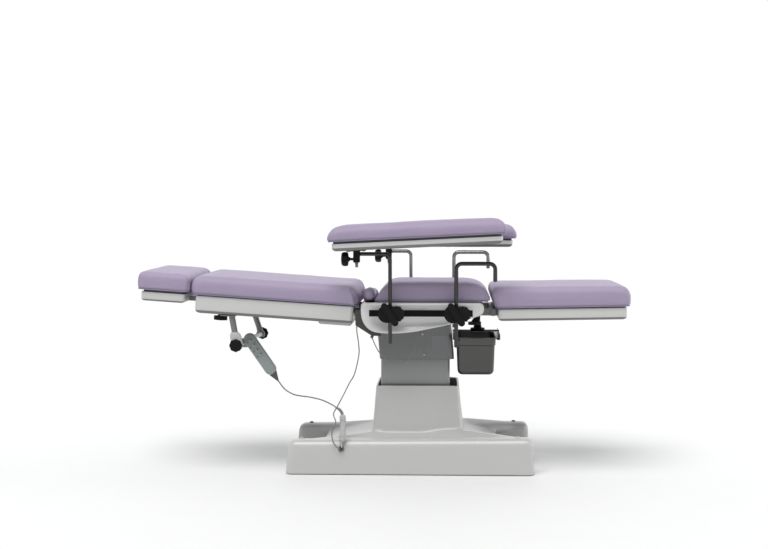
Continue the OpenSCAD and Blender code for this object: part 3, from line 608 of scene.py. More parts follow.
# curly part: a helix round its own hanging line, then the tail into the base
AX = catmull([(-264, -267.5, 238), (-261, -272, 200), (-262, -278, 165), (-265, -286, 132)], 1.0)
fr = frames(AX)
turns, R_coil = 23.0, 10.2
coil = []
steps = int(turns * 22)
wob = [0.0]
for i in range(steps + 1):
    t = i / steps
    q = t * (len(fr) - 1)
    a = int(q)
    b = min(a + 1, len(fr) - 1)
    P = fr[a][0].lerp(fr[b][0], q - a)
    u, w = fr[a][2], fr[a][3]
    env = min(1.0, t * 14, (1 - t) * 14)
    rr = (R_coil + 0.6 * math.sin(t * 9.0) - 0.4 * math.sin(t * 23)) * (0.15 + 0.85 * env)
    ang = 2 * math.pi * turns * t + 0.25 * math.sin(t * 17)
    coil.append(P + u * (rr * math.cos(ang)) + w * (rr * math.sin(ang)))
tail = catmull([coil[-1], (-265.5, -288.5, 121), (-265, -290, 113), (-265, -286.5, 109.7), (-265, -278, 106.7)], 2.5)
curl_line = coil + tail[1:]
v, f = tube(curl_line, 2.3, 10)
curly = smooth(new_obj("curly_cord_coil", v, f, M["coil"]), 60)
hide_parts("curly_cord")
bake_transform(curly)

BC = [(-207, -270, 594), (-207, -270, 576), (-206, -269, 560), (-201, -259, 520), (-199, -250, 480), (-207, -250, 433), (-219, -250, 391), (-237, -250, 360), (-258, -250, 318), (-283, -250.5, 270),
      (-299, -266, 239), (-289, -280, 209), (-303, -288, 172), (-300, -292, 138), (-287, -293, 116), (-277, -292, 109), (-272, -288, 105.7), (-272, -279.5, 102.7)]
bc = catmull(BC, 4.0)
back_cab = round_tube_obj("back_cable_run", bc, 2.3, M["cord"], 12)
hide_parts("back_cable")
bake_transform(back_cab)

MC = [(-147, -269, 541), (-142, -267, 528), (-132, -262, 505), (-117, -260, 480), (-84, -260, 451), (-54, -260, 441), (-32, -260, 444), (-5, -260, 459), (15, -260, 489), (25, -258, 525), (32, -254, 550), (35, -252, 563), (36, -251, 572)]
mc = catmull(MC, 4.0)
motor_cab = round_tube_obj("motor_cable_loop", mc, 2.0, M["cord"], 12)
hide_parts("motor_cable")
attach(motor_cab, "lift")


# ---------------------------------------------------------------- cushions
def cushion(name, x0, x1, hy, z0, z1, m, body, node, rx=(40, 40), ry=38.0, rt=44.0, rb=12.0, pe=2.7, crown=4.0, bulge=3.0, seed=1.0, step=6.5, yc=0.0, left=0.0, right=0.0, ends=(0, 0, 0, 0), soft=1.0, pleat_end=None, far_drop=0.0, shear=0.0):
    """A stuffed, vinyl-covered pad. ends = (length, drop) of the soft slope at each end; left and right lean the end faces."""
    nx = max(8, int((x1 - x0) / step))
    ny = max(8, int(2 * hy / step))
    nz = max(8, int((z1 - z0) / (step * 0.75)))
    y0, y1 = yc - hy, yc + hy
    hz_ = z1 - z0

    def lin(a, b, n, i):
        t = i / n
        t = t - 0.36 * math.sin(2 * math.pi * t) / (2 * math.pi)
        return a + (b - a) * t

    idx, verts, faces = {}, [], []

    def vid(i, j, k):
        key = (i, j, k)
        if key not in idx:
            idx[key] = len(verts)
            verts.append((lin(x0, x1, nx, i), lin(y0, y1, ny, j), z0 + hz_ * k / nz))
        return idx[key]

    for i in range(nx):
        for j in range(ny):
            faces.append((vid(i, j, 0), vid(i, j + 1, 0), vid(i + 1, j + 1, 0), vid(i + 1, j, 0)))
            faces.append((vid(i, j, nz), vid(i + 1, j, nz), vid(i + 1, j + 1, nz), vid(i, j + 1, nz)))
    for k in range(nz):
        for i in range(nx):
            faces.append((vid(i, 0, k), vid(i + 1, 0, k), vid(i + 1, 0, k + 1), vid(i, 0, k + 1)))
            faces.append((vid(i, ny, k), vid(i, ny, k + 1), vid(i + 1, ny, k + 1), vid(i + 1, ny, k)))
        for j in range(ny):
            faces.append((vid(0, j, k), vid(0, j, k + 1), vid(0, j + 1, k + 1), vid(0, j + 1, k)))
            faces.append((vid(nx, j, k), vid(nx, j + 1, k), vid(nx, j + 1, k + 1), vid(nx, j, k + 1)))
    mid_x = (x0 + x1) / 2

    def shape(P):
        """From points on the plain block to the rounded, crowned pad; also gives each point's outward direction."""
        P = np.asarray(P, float)
        RX = np.where(P[:, 0] < mid_x, rx[0], rx[1])
        zl, zh = z0 + rb, z1 - rt
        q = np.stack([np.clip(P[:, 0], x0 + rx[0], x1 - rx[1]), np.clip(P[:, 1], y0 + ry, y1 - ry), np.clip(P[:, 2], zl, zh)], 1)
        RZ = np.where(P[:, 2] > (zl + zh) / 2, rt, rb)
        R = np.stack([RX, np.full(len(P), ry), RZ], 1)
        d = (P - q) / R
        ln = np.maximum((np.abs(d) ** pe).sum(1, keepdims=True) ** (1 / pe), 1e-9)
        d = d / ln
        Q = q + d * R
        nd = np.sign(d) * np.abs(d) ** (pe - 1) / R * 30
        nd = nd / np.maximum(np.linalg.norm(nd, axis=1, keepdims=True), 1e-9)
        u = np.clip((Q[:, 0] - x0) / (x1 - x0), 0, 1)
        w = np.clip((Q[:, 1] - y0) / (y1 - y0), 0, 1)
        t = np.clip((Q[:, 2] - z0) / hz_, 0, 1)
        Q[:, 2] += crown * (1 - np.abs(2 * u - 1) ** 3) * (1 - np.abs(2 * w - 1) ** 3) * np.clip((t - 0.5) / 0.5, 0, 1)
        side = np.sin(np.pi * t) * (1 - nd[:, 2] ** 2)
        Q[:, 0] += nd[:, 0] * bulge * side
        Q[:, 1] += nd[:, 1] * bulge * side
        h = Q[:, 2] - z0
        for dist, (ln_, drop) in ((Q[:, 0] - x0, ends[:2]), (x1 - Q[:, 0], ends[2:])):
            if drop:
                sft = np.clip((ln_ - dist) / ln_, 0, 1) ** 1.15
                h = h * (1 - drop / hz_ * (1 - np.sqrt(np.maximum(0, 1 - sft ** 2))))
        if far_drop:
            h = h * (1 - far_drop / hz_ * np.clip((w - 0.45) / 0.55, 0, 1) ** 2)
        Q[:, 2] = z0 + h
        if left:
            k = np.clip(1 - (Q[:, 0] - x0) / 150.0, 0, 1)
            Q[:, 0] += left * t * k
        if right:
            k = np.clip(1 - (x1 - Q[:, 0]) / 150.0, 0, 1)
            Q[:, 0] -= right * t * k
        if shear:
            Q[:, 2] += shear * (Q[:, 0] - x0) * (1.0 - 0.45 * t)
        return Q, nd, t

    Q, d, t = shape(verts)
    top = np.clip((t - 0.55) / 0.45, 0, 1)
    cx = np.where(Q[:, 0] > mid_x, x1 - rx[1], x0 + rx[0])
    cy = np.where(Q[:, 1] > yc, y1 - ry, y0 + ry)
    ang = np.arctan2(Q[:, 1] - cy, Q[:, 0] - cx)
    corner = np.exp(-(np.maximum(np.abs(Q[:, 0] - cx), np.abs(Q[:, 1] - cy)) / 62.0) ** 2)
    D = np.zeros(len(Q))
    for n_ in range(len(Q)):
        p = Q[n_]
        side = 1 - abs(d[n_, 2])
        a = sgn_noise(p, 0.006, seed) * 1.7 * (0.35 + 0.65 * top[n_])
        a += sgn_noise(p, 0.017, seed + 5) * 0.55
        low = math.exp(-max(0.0, p[2] - z0) / 15.0)
        a += low * side * noise.noise(Vector((p[0] * 0.032 + seed, p[1] * 0.032, 0.3))) * 2.4
        # drag lines of the cover round the corners
        a += corner[n_] * side * 1.0 * math.cos(ang[n_] * 11 + seed) * (1 - 0.65 * t[n_])
        # long shallow creases along the side
        g = noise.noise(Vector((p[0] * 0.009 + seed * 3, p[1] * 0.009, p[2] * 0.055)))
        a += side * 0.9 * g
        if pleat_end is not None:
            dx = pleat_end - p[0]
            hy_ = abs(p[1] - yc)
            e = math.exp(-max(0.0, dx) / 30.0)
            # pleats gathered across the end
            a += e * side * (noise.noise(Vector((p[1] * 0.020 + seed, p[2] * 0.006, 2.0))) * 5.0 + math.sin(p[1] * 0.15 + 2.4 * math.sin(p[1] * 0.029)) * 1.9)
            # the deep diagonal fold at each corner, with a lip before it and a softer second one
            if hy_ > hy - 75:
                w_ = min(1.0, (hy_ - (hy - 75)) / 55.0)
                zf = (p[2] - z0) / hz_
                line = 31.0 - 27.0 * (1 - zf)
                r = dx - line + 4.0 * math.sin(zf * 5.0)
                fade = max(0.0, min(1.0, (1.06 - zf) / 0.22)) * max(0.0, min(1.0, (zf + 0.05) / 0.15))
                a -= w_ * fade * 6.5 * math.exp(-(r / 5.0) ** 2)
                a += w_ * fade * 2.8 * math.exp(-((r - 13.0) / 8.0) ** 2)
                a -= w_ * fade * 2.6 * math.exp(-((r + 17.0) / 4.5) ** 2) * (1 - zf)
        D[n_] = a * soft
    Q = Q + d * D[:, None]
    ob = new_obj(name, to_world(Q, m), faces, M["vinyl"])
    smooth(ob, 180)
    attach(ob, body)
    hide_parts(node)
    # sewn lines down the four corners and a welt round the foot of the side
    parts = []
    for sx in (0, 1):
        for sy in (0, 1):
            zz = np.linspace(z0 + 4, z1 - 4, 16)
            X_, Y_ = (x1 if sx else x0), (y1 if sy else y0)
            src = np.array([(X_, Y_, z) for z in zz])
            L_, nd_, _ = shape(src)
            L_ = L_ - nd_ * 0.45
            parts.append(tube(catmull([tuple(p) for p in L_], 5.0), 0.85, 8))
    zr = z0 + 5.0
    ringp = np.array([(x, y, zr) for x, y in split_long([(x0, y0), (x1, y0), (x1, y1), (x0, y1)], 9)])
    ring, nd_, _ = shape(ringp)
    wob_ = [0.35 * noise.noise(Vector((p[0] * 0.03, p[1] * 0.03, seed))) for p in ring]
    cen = ring + nd_ * np.array([[0.3, 0.3, 0.0]]) + np.array([[0, 0, w_ - 2.6] for w_ in wob_])
    rv, n8 = [], 10
    n_r = len(cen)
    for i in range(n_r):
        a_, b_, c_ = Vector(cen[i - 1]), Vector(cen[i]), Vector(cen[(i + 1) % n_r])
        T = (c_ - a_).normalized()
        up = Vector((0, 0, 1))
        out_ = T.cross(up).normalized()
        up2 = out_.cross(T)
        for k in range(n8):
            an = 2 * math.pi * k / n8
            rv.append(tuple(b_ + (out_ * math.cos(an) + up2 * math.sin(an)) * 2.3))
    parts.append((rv, ring_faces(n_r, n8, False, True)))
    V_, F_ = merge(*parts)
    seam = new_obj(name + "_welt", to_world(V_, m), F_, M["vinyl_seam"])
    smooth(seam, 180)
    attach(seam, body)
    return ob


I4 = Matrix.Identity(4)
cushion("back_cushion", -690, -36, 300, -27, 50, AB, "back", "back_pad", rx=(44, 36), ry=40, rt=44, crown=3, seed=1.3, right=9, pleat_end=-36, ends=(60, 8, 50, 6))
cushion("head_cushion", -901, -698, 300, -21, 51, AB, "head", "head_pad", rx=(26, 40), ry=34, rt=30, rb=11, crown=2.5, seed=4.1, ends=(26, 3, 50, 7))
cushion("seat_cushion", -141, 311, 290, 683, 758, I4, "lift", "seat_pad", rx=(52, 66), ry=24, rt=18, pe=2.3, crown=1.5, seed=7.7, left=22, right=4, ends=(92, 50, 104, 46), far_drop=9)
cushion("leg_cushion", 335, 855, 300, 657, 742, I4, "leg", "leg_pad", rx=(30, 34), ry=34, rt=40, pe=2.8, crown=2.5, seed=9.2, ends=(40, 6, 60, 16), far_drop=5, shear=0.020, left=-20)
NA = mv(NEAR_AX, -POST_Y, 871) @ rot("Y", -2.8)
FA = mv(FAR_AX, POST_Y, 860)
cushion("near_arm_cushion", -232, 448, 70, 58.5, 119, NA, "near_arm_rest", "near_arm_pad", rx=(36, 34), ry=34, rt=34, rb=10, pe=2.3, crown=4, seed=12.5, yc=-36, step=5.5, ends=(88, 30, 66, 24))
cushion("far_arm_cushion", -232, 448, 70, 55, 115.5, FA, "far_arm_rest", "far_arm_pad", rx=(36, 34), ry=34, rt=34, rb=10, pe=2.3, crown=4, seed=15.1, yc=36, step=5.5, ends=(88, 30, 66, 24))

# the cover's fold between backrest and seat: a soft roll across the table, gathered at both ends
n_a, n_l = 44, 170
verts = []
for i in range(n_l + 1):
    t = i / n_l
    y = -291 + 582 * t
    e = min(1.0, (min(t, 1 - t) * 582) / 30.0)
    env = math.sqrt(max(0.0, 1 - (1 - e) ** 2)) * 0.96 + 0.04
    knot = 1 - 0.20 * math.exp(-(((min(t, 1 - t) * 582) - 46.0) / 12.0) ** 2)
    mid = min(1.0, max(0.0, (y + 262.0) / 72.0))
    mid = mid * mid * (3 - 2 * mid)
    far = min(1.0, max(0.0, (y - 200.0) / 70.0))
    far = far * far * (3 - 2 * far)
    xc = -160.5 + 4.5 * max(0.0, 1.0 - (y + 291.0) / 80.0) - 3.0 * mid
    sink = 22.0 * mid + 22.0 * far
    for k in range(n_a):
        a = 2 * math.pi * k / n_a
        ca, sa = math.cos(a), math.sin(a)
        rx_, rz_ = 21.5 * env * knot * (1 - 0.06 * mid), 25.0 * env * knot * (1 - 0.25 * mid)
        wr = 1 + 0.12 * noise.noise(Vector((y * 0.026, ca * 1.4, sa * 1.4))) + 0.045 * math.sin(y * 0.20 + 2.5 * math.sin(y * 0.041) + 1.6 * sa) + 0.05 * e * noise.noise(Vector((y * 0.07, ca * 2.0, 4.0)))
        verts.append((xc + rx_ * math.copysign(abs(ca) ** 0.9, ca) * wr, y, 712 - sink + rz_ * math.copysign(abs(sa) ** 0.95, sa) * wr))
fold = new_obj("gusset_roll", verts, ring_faces(n_l + 1, n_a), M["vinyl"])
smooth(fold, 180)
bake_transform(fold)

# ---------------------------------------------------------------- moulded shells
def tray(name, x0, x1, y0, y1, r, prof, m, material, n=12, cap=True):
    lv = [(x0 + i, x1 - i, y0 + i, y1 - i, max(r - i, 0.8), z) for i, z in prof]
    v, f = loft(lv, n, (False, cap))
    return new_obj(name, to_world(v, m), f, material)


def lip(z, depth=12, t=5):
    return [(t, z - depth), (t, z - 1.0), (t - 0.9, z), (1.2, z), (0.35, z - 0.4), (0, z - 1.4)]


def tuck(z0, z1, i0, i1, k=7):
    return [(i0 + (i1 - i0) * (1 - math.cos(math.pi / 2 * j / k)), z0 + (z1 - z0) * math.sin(math.pi / 2 * j / k)) for j in range(k + 1)]


def shelf(name, x0, x1, hy, r, zt, zf, zb, ins, m, body, node, n=12, slot="white_shell", material="white", lip_d=12, lip_t=5, yc=0.0, tf=None):
    """A moulded tray: the light rim and side down to zf, then the turned-in underside down to zb, whose darker grey is
    painted shade.
    """
    side = lip(zt, lip_d, lip_t) + [(0, (zt + zf) / 2), (0, zf + 1.2), (0.25, zf + 0.4), (0.9, zf), (1.4, zf - 0.05)]
    o = tray(name, x0, x1, yc - hy, yc + hy, r, side, m, M[material], n, False)
    if tf:
        tf(o)
    finish(o, body, *([node] if node else []), angle=50, slot=slot)
    k = 8
    # the turned-in underside gets a darker grey: painted shade
    und = [(0.9, zf + 2.0), (0.9, zf - 0.3)] + [(0.9 + (ins - 0.9) * (1 - math.cos(math.pi / 2 * j / k)) ** 0.9, zf + (zb + 0.6 - zf) * math.sin(math.pi / 2 * j / k)) for j in range(1, k + 1)] + [(ins + 3, zb + 0.15), (ins + 8, zb)]
    o = tray(name + "_under", x0, x1, yc - hy, yc + hy, r, und, m, M["under"], n)
    if tf:
        tf(o)
    finish(o, body, angle=50)


# backrest
shelf("back_tray", -672, -52, 293, 16, -30, -86, -99, 22, AB, "back", "back_shell")
# the step's darker grey is painted shade
o = tray("back_tray_step", -186, -54, -284, 284, 10, [(1, -90), (0, -94), (0, -98)] + tuck(-98, -107.2, 0, 9, 6) + [(16, -107.5)], AB, M["cap"])
finish(o, "back", angle=50)
for s_ in (-1, 1):
    v, f = boxm((-53.2, s_ * 178 - 13, -77), (-51.6, s_ * 178 + 13, -36), AB)
    o = new_obj("back_slot_%s" % ("n" if s_ < 0 else "f"), v, f, M["rubber"])
    soften(o, 0.4)
    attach(o, "back")
# headrest
shelf("head_tray", -886, -714, 292, 13, -28.5, -57, -65, 17, AB, "head", "head_shell", lip_d=8, lip_t=4)


# leg section: its underside rises a little towards the free end
def leg_rise(o):
    for vv in o.data.vertices:
        vv.co.z += (vv.co.x - 0.345) * 0.017


shelf("leg_tray", 345, 843, 293, 16, 654.5, 618, 607.5, 18, I4, "leg", "leg_shell", tf=leg_rise)
for s_ in (-1, 1):
    v, f = boxm((344.2, s_ * 180 - 23, 620), (346.0, s_ * 180 + 23, 652), I4)
    o = new_obj("leg_slot_%s" % ("n" if s_ < 0 else "f"), v, f, M["rubber"])
    soften(o, 0.4)
    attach(o, "leg")
# dark board between each pad and its shell
for nm, bd, m_, x0, x1, hy, za, zb, tf in (("back", "back", AB, -664, -60, 286, -34, -22, None), ("head", "head", AB, -879, -721, 286, -36, -16, None), ("leg", "leg", I4, 352, 836, 286, 648, 662, leg_rise), ("seat", "lift", I4, -132, 268, 284, 676, 690, None)):
    v, f = loft([(x0, x1, -hy, hy, 14, za), (x0, x1, -hy, hy, 14, zb)], 8)
    o = new_obj(nm + "_pad_board", to_world(v, m_), f, M["dark_under"])
    if tf:
        tf(o)
    finish(o, bd, angle=40)


# armrests
def star_knob(name, m, material, body, node=None, r=27.0, lobes=6, depth=2.6, h=28.0, hub=8.0, hub_len=22.5, dome=5.0):
    """Lobed hand knob on its own axis (+Z away from the clamped piece), with a stem."""
    n = lobes * 16
    prof = [(0.0, 0.0, 0.0), (0.55, 0.0, 0.2), (0.80, 0.6, 0.5), (0.92, 2.4, 0.8), (0.985, 5.5, 1.0), (1.0, 9.0, 1.0), (1.0, h * 0.55, 1.0), (0.97, h * 0.72, 1.0), (0.88, h * 0.88, 0.7), (0.74, h * 0.97, 0.4), (0.5, h, 0.1), (0.32, h - 0.6, 0.0), (0.0, h - 0.6, 0.0)]
    verts = []
    for rr, z, k_ in prof:
        for i in range(n):
            a = 2 * math.pi * i / n
            lob = 1 - (depth / r) * k_ * (0.5 - 0.5 * math.cos(lobes * a)) ** 0.8
            q = max(rr * r * lob, 1e-3)
            verts.append((q * math.cos(a), q * math.sin(a), z))
    V1 = to_world(verts, m)
    F1 = ring_faces(len(prof), n)
    st = lathe([(0, -hub_len), (hub * 0.62, -hub_len), (hub * 0.62, -7.5), (hub * 0.75, -6.5), (hub * 1.25, -2.0), (hub * 1.35, 0.8), (0, 0.8)], 28, m)
    o = new_obj(name, *merge((V1, F1), st), material)
    finish(o, body, *([node] if node else []), angle=42)
    return o


for side, m_, body, z0, s_, hook in (("near", NA, "near_arm_rest", 21, -1, 142), ("far", FA, "far_arm_rest", 17.5, 1, 108)):
    yc = -36 * (1 if s_ < 0 else -1)
    zt = z0 + 29.5
    shelf(side + "_arm_tray", -218, 434, 62, 20, zt, z0 + 13, z0 + 0.8, 16, m_, body, side + "_arm_shell", lip_d=8, lip_t=4, yc=yc)
    v, f = loft([(-212, 430, yc - 56, yc + 56, 14, zt - 3), (-212, 430, yc - 56, yc + 56, 14, zt + 13)], 8)
    o = new_obj(side + "_arm_board", to_world(v, m_), f, M["dark_under"])
    finish(o, body, angle=40)
    px, zb = (NEAR_AX, 871) if s_ < 0 else (FAR_AX, 860)
    Y = s_ * POST_Y
    # the split block that holds the bent bar, with its steel pin below
    br = boxm((0, -14, -33), (26, 14, 17 if s_ < 0 else 19), mv(px - hook, Y, zb))
    o = new_obj(side + "_arm_bracket", *br, M["black"])
    soften(o, 3.0, 4)
    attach(o, body)
    v, f = lathe([(0, -52), (4.6, -51.6), (5.6, -50), (5.6, -40), (6.6, -39.4), (6.6, -33.5), (5.6, -33), (5.6, -30), (0, -30)], 28, mv(px - hook + 13, Y, zb))
    o = new_obj(side + "_arm_pin", v, f, M["satin"])
    finish(o, body, angle=40)
    v, f = boxm((-34, yc - 40, z0 - 2.0), (40, yc + 40, z0 + 1.6), m_ @ mv(-hook + 12, 0, 0))
    o = new_obj(side + "_arm_plate", v, f, M["blackpaint"])
    soften(o, 0.8)
    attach(o, body)
    pr = [(0, -0.2), (4.2, 0.0), (4.2, 1.4), (3.2, 2.2), (0, 2.4)]
    for i, (sx, sy) in enumerate(((-26, -32), (32, -32), (-26, 32), (32, 32))):
        v, f = lathe(pr, 20, m_ @ mv(-hook + 12 + sx, yc + sy, z0 - 2.0) @ rot("X", 180))
        o = new_obj("%s_arm_screw_%d" % (side, i), v, f, M["screw"])
        finish(o, body, angle=40)

# seat cover (tub)
SP = [(-180, 680), (-187.5, 674), (-190, 664), (-190, 640), (-188, 622), (-182, 604), (-172, 588), (-160, 576), (-145, 567), (-125, 562), (-100, 559.6), (-72, 559), (-38, 560), (-2, 563), (36, 569), (74, 577),
      (116, 585.5), (157, 595), (192, 604), (227, 614), (252, 621.5), (268, 627), (280, 634), (287, 643), (290, 654), (289, 665), (284, 674), (274, 680)]


def smooth_closed(poly, k=4):
    n = len(poly)
    out = []
    for i in range(n):
        a, b, c, d = [Vector(poly[(i + j) % n]) for j in (-1, 0, 1, 2)]
        if (c - b).length > 200:
            out.append(tuple(b))
            continue
        if (b - a).length > 200:
            a = 2 * b - c
        if (d - c).length > 200:
            d = 2 * c - b
        for j in range(k):
            t = j / k
            q = 0.5 * ((2 * b) + (c - a) * t + (2 * a - 5 * b + 4 * c - d) * t * t + (3 * b - a - 3 * c + d) * t ** 3)
            out.append((q.x, q.y))
    return out


def inset2(poly, dist):
    n = len(poly)
    ar = sum(poly[i][0] * poly[(i + 1) % n][1] - poly[(i + 1) % n][0] * poly[i][1] for i in range(n))
    sg = 1 if ar > 0 else -1
    out = []
    for i in range(n):
        a, b, c = poly[i - 1], poly[i], poly[(i + 1) % n]
        t1 = Vector((b[0] - a[0], b[1] - a[1])).normalized()
        t2 = Vector((c[0] - b[0], c[1] - b[1])).normalized()
        n1, n2 = Vector((-t1.y, t1.x)) * sg, Vector((-t2.y, t2.x)) * sg
        nn = (n1 + n2)
        nn = nn / max(0.5, nn.dot(n1))
        out.append((b[0] + nn.x * dist, b[1] + nn.y * dist))
    return out


def profile_solid(name, poly, stations, material):
    verts = []
    for y, ins in stations:
        for x, z in (inset2(poly, ins) if ins else poly):
            verts.append((x, y, z))
    o = new_obj(name, verts, ring_faces(len(stations), len(poly)), material)
    bm = bmesh.new()
    bm.from_mesh(o.data)
    bmesh.ops.recalc_face_normals(bm, faces=bm.faces)
    bm.to_mesh(o.data)
    bm.free()
    return o


sp = smooth_closed(SP, 4)
edge = [(300 - 11 * (1 - math.cos(math.pi / 2 * k / 6)), 11 * (1 - math.sin(math.pi / 2 * k / 6))) for k in range(7)]
stations = [(-y, i) for y, i in edge] + [(y, i) for y, i in reversed(edge)]
# the tub's lighter white is painted light
tub = profile_solid("seat_tub", sp, stations, M["seat_white_painted_light"])
cut1 = profile_solid("c1", sp, [(-294.5, 5), (294.5, 5)], M["white"])


def cutter(a, b):
    v, f = boxm(a, b)
    o = new_obj("cut", v, f)
    bm = bmesh.new()
    bm.from_mesh(o.data)
    bmesh.ops.recalc_face_normals(bm, faces=bm.faces)
    bm.to_mesh(o.data)
    bm.free()
    return o


cuts = [cut1, cutter((-172, -284, 668), (268, 284, 700)), cutter((-142, -148, 540), (163, 148, 640)), cutter((-200, -42, 548), (-130, 42, 700))]
for s in (-1, 1):
    cuts.append(cutter((-202, s * 178 - 17, 618), (-150, s * 178 + 17, 700)))
    cuts.append(cutter((262, s * 180 - 26, 617), (300, s * 180 + 26, 658)))
v, f = lathe([(0, 590), (13, 590), (13, 650), (0, 650)], 32, mv(270, 0, 0))
cuts.append(new_obj("cut", v, f))
v, f = lathe([(0, 590), (9, 590), (9, 650), (0, 650)], 32, mv(255, -180, 0))
cuts.append(new_obj("cut", v, f))
boolean(tub, cuts)
tub.data.materials.clear()
tub.data.materials.append(M["seat_white_painted_light"])
bm = bmesh.new()
bm.from_mesh(tub.data)
for ax_, vals in ((2, [0.578 + 0.004 * k for k in range(15)]), (0, [-0.165 + 0.012 * k for k in range(31)])):
    for val in vals:
        no = Vector((0, 0, 0))
        no[ax_] = 1.0
        co_ = Vector((0, 0, 0))
        co_[ax_] = val
        bmesh.ops.bisect_plane(bm, geom=bm.verts[:] + bm.edges[:] + bm.faces[:], plane_co=co_, plane_no=no, dist=1e-5)
bm.to_mesh(tub.data)
bm.free()


def sstep(a, b, x):
    t = min(1.0, max(0.0, (x - a) / (b - a)))
    return t * t * (3 - 2 * t)


low = {}
for vv in tub.data.vertices:
    q = round(vv.co.x / 0.012)
    low[q] = min(low.get(q, 9.0), vv.co.z)
for vv in tub.data.vertices:
    if abs(vv.co.y) > 0.282:
        q = round(vv.co.x / 0.012)
        zb = min(low.get(q + d_, 9.0) for d_ in (-1, 0, 1))
        top = 0.637
        if zb < top - 0.015 and vv.co.z < top:
            t = min(1.0, (top - vv.co.z) / (top - zb))
            k_ = math.sin(math.pi * t ** 0.8) ** 1.2 * sstep(-0.165, -0.085, vv.co.x) * (1 - sstep(0.135, 0.185, vv.co.x)) * min(1.0, (top - zb) / 0.045)
            vv.co.y -= math.copysign(0.0160 * k_, vv.co.y)
tub.data.update()
finish(tub, "lift", "seat_cover", angle=38, slot="white_shell")

# column shroud, its joint strip and the bare label place
def lean(z):
    return -14.0 * (z - 445) / 161.0


lv = []
for ins, z in [(3.2, 456), (3.2, 446.2), (2.6, 445.3), (1.0, 445), (0.3, 445.4), (0, 446.4), (0, 500), (0, 566)]:
    lv.append((-122.5 + ins + lean(z), 174 - ins + lean(z), -146 + ins, 146 - ins, 20 - ins, z))
v, f = loft(lv, 12, (False, False))
# the shroud's darker grey is painted shade under the seat
o = new_obj("shroud_shell", v, f, M["shroud"])
m = o.modifiers.new("s", "SOLIDIFY")
finish(o, "lift", "column_shroud", angle=50, slot="white_shell")
o.modifiers.clear()
v, f = loft([(60 + lean(566), 174 + lean(566), -146, 146, 20, 566), (60 + lean(600), 174 + lean(600), -146, 146, 20, 600)], 12, (False, False))
o = new_obj("shroud_top", v, f, M["shroud"])
finish(o, "lift", angle=50)


def shear_box(name, x0, x1, y0, y1, z0, z1, material, body, w=0.5):
    v = []
    for z in (z0, z1):
        for y in (y0, y1):
            for x in (x0, x1):
                v.append((x + lean(z), y, z))
    f = [(0, 2, 3, 1), (4, 5, 7, 6), (0, 1, 5, 4), (2, 6, 7, 3), (0, 4, 6, 2), (1, 3, 7, 5)]
    o = new_obj(name, v, f, material)
    soften(o, w, 3)
    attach(o, body)
    return o


shear_box("shroud_joint_near", 52, 62, -147.0, -144, 447, 570, M["shroud"], "lift", 0.7)
shear_box("shroud_joint_far", 52, 62, 144, 147.0, 447, 570, M["shroud"], "lift", 0.7)
v, f = loft([(92, 156, -0.1, 52, 4, 0), (92.3, 155.7, 0.2, 51.7, 4, 0.55)], 8)
lab = []
for x, y, z in v:
    lab.append((x + lean(486 + y), -146 - z, 486 + y))
o = new_obj("label_place", lab, f, M["label"])
finish(o, "lift", angle=40)
for i, (sx, sz) in enumerate(((57, 462), (57, 545))):
    v, f = lathe([(0, -0.4), (3.9, -0.2), (3.9, 0.9), (3.0, 1.7), (1.2, 1.9), (1.1, 0.9), (0, 0.9)], 20, mv(sx + lean(sz), -147.0, sz) @ rot("X", 90))
    o = new_obj("shroud_screw_%d" % i, v, f, M["screw"])
    finish(o, "lift", angle=40)

# column's middle cover: a tube with a rolled lower edge
lv = []
for ins, z in [(3, 542), (3, 231), (2.5, 230.2), (0.6, 230), (0, 230.8), (0, 541.2), (0.6, 542), (3, 542)]:
    lv.append((-118 + ins, 157 - ins, -132 + ins, 132 - ins, 16 - ins, z))
v, f = loft(lv, 10, (False, False))
# the middle cover's grey is darkened as painted shade under the seat
o = new_obj("mid_cover_tube", v, f, M["column"])
finish(o, "mid_cover", "column_mid_cover", angle=50, slot="white_shell")


# ---------------------------------------------------------------- base cover
def hull_obj(name, balls, floor_pts=()):
    bm = bmesh.new()
    for c, r in balls:
        for i in range(1, 8):
            th = math.pi * i / 8
            for k in range(20):
                ph = 2 * math.pi * k / 20
                bm.verts.new((c[0] + r * math.sin(th) * math.cos(ph), c[1] + r * math.sin(th) * math.sin(ph), c[2] + r * math.cos(th)))
        bm.verts.new((c[0], c[1], c[2] + r))
        bm.verts.new((c[0], c[1], c[2] - r))
    for c, r in floor_pts:
        for k in range(20):
            ph = 2 * math.pi * k / 20
            bm.verts.new((c[0] + r * math.cos(ph), c[1] + r * math.sin(ph), c[2]))
    res = bmesh.ops.convex_hull(bm, input=bm.verts)
    bmesh.ops.delete(bm, geom=[g for g in res["geom_interior"] if isinstance(g, bmesh.types.BMVert)], context="VERTS")
    bmesh.ops.remove_doubles(bm, verts=bm.verts, dist=0.01)
    bmesh.ops.recalc_face_normals(bm, faces=bm.faces)
    for vv in bm.verts:
        vv.co *= MM
    me = bpy.data.meshes.new(name)
    bm.to_mesh(me)
    bm.free()
    ob = bpy.data.objects.new(name, me)
    SC.collection.objects.link(ob)
    return ob


# foot tops stand a little higher at the leg end
FT = ((-449, 106), (458, 116))


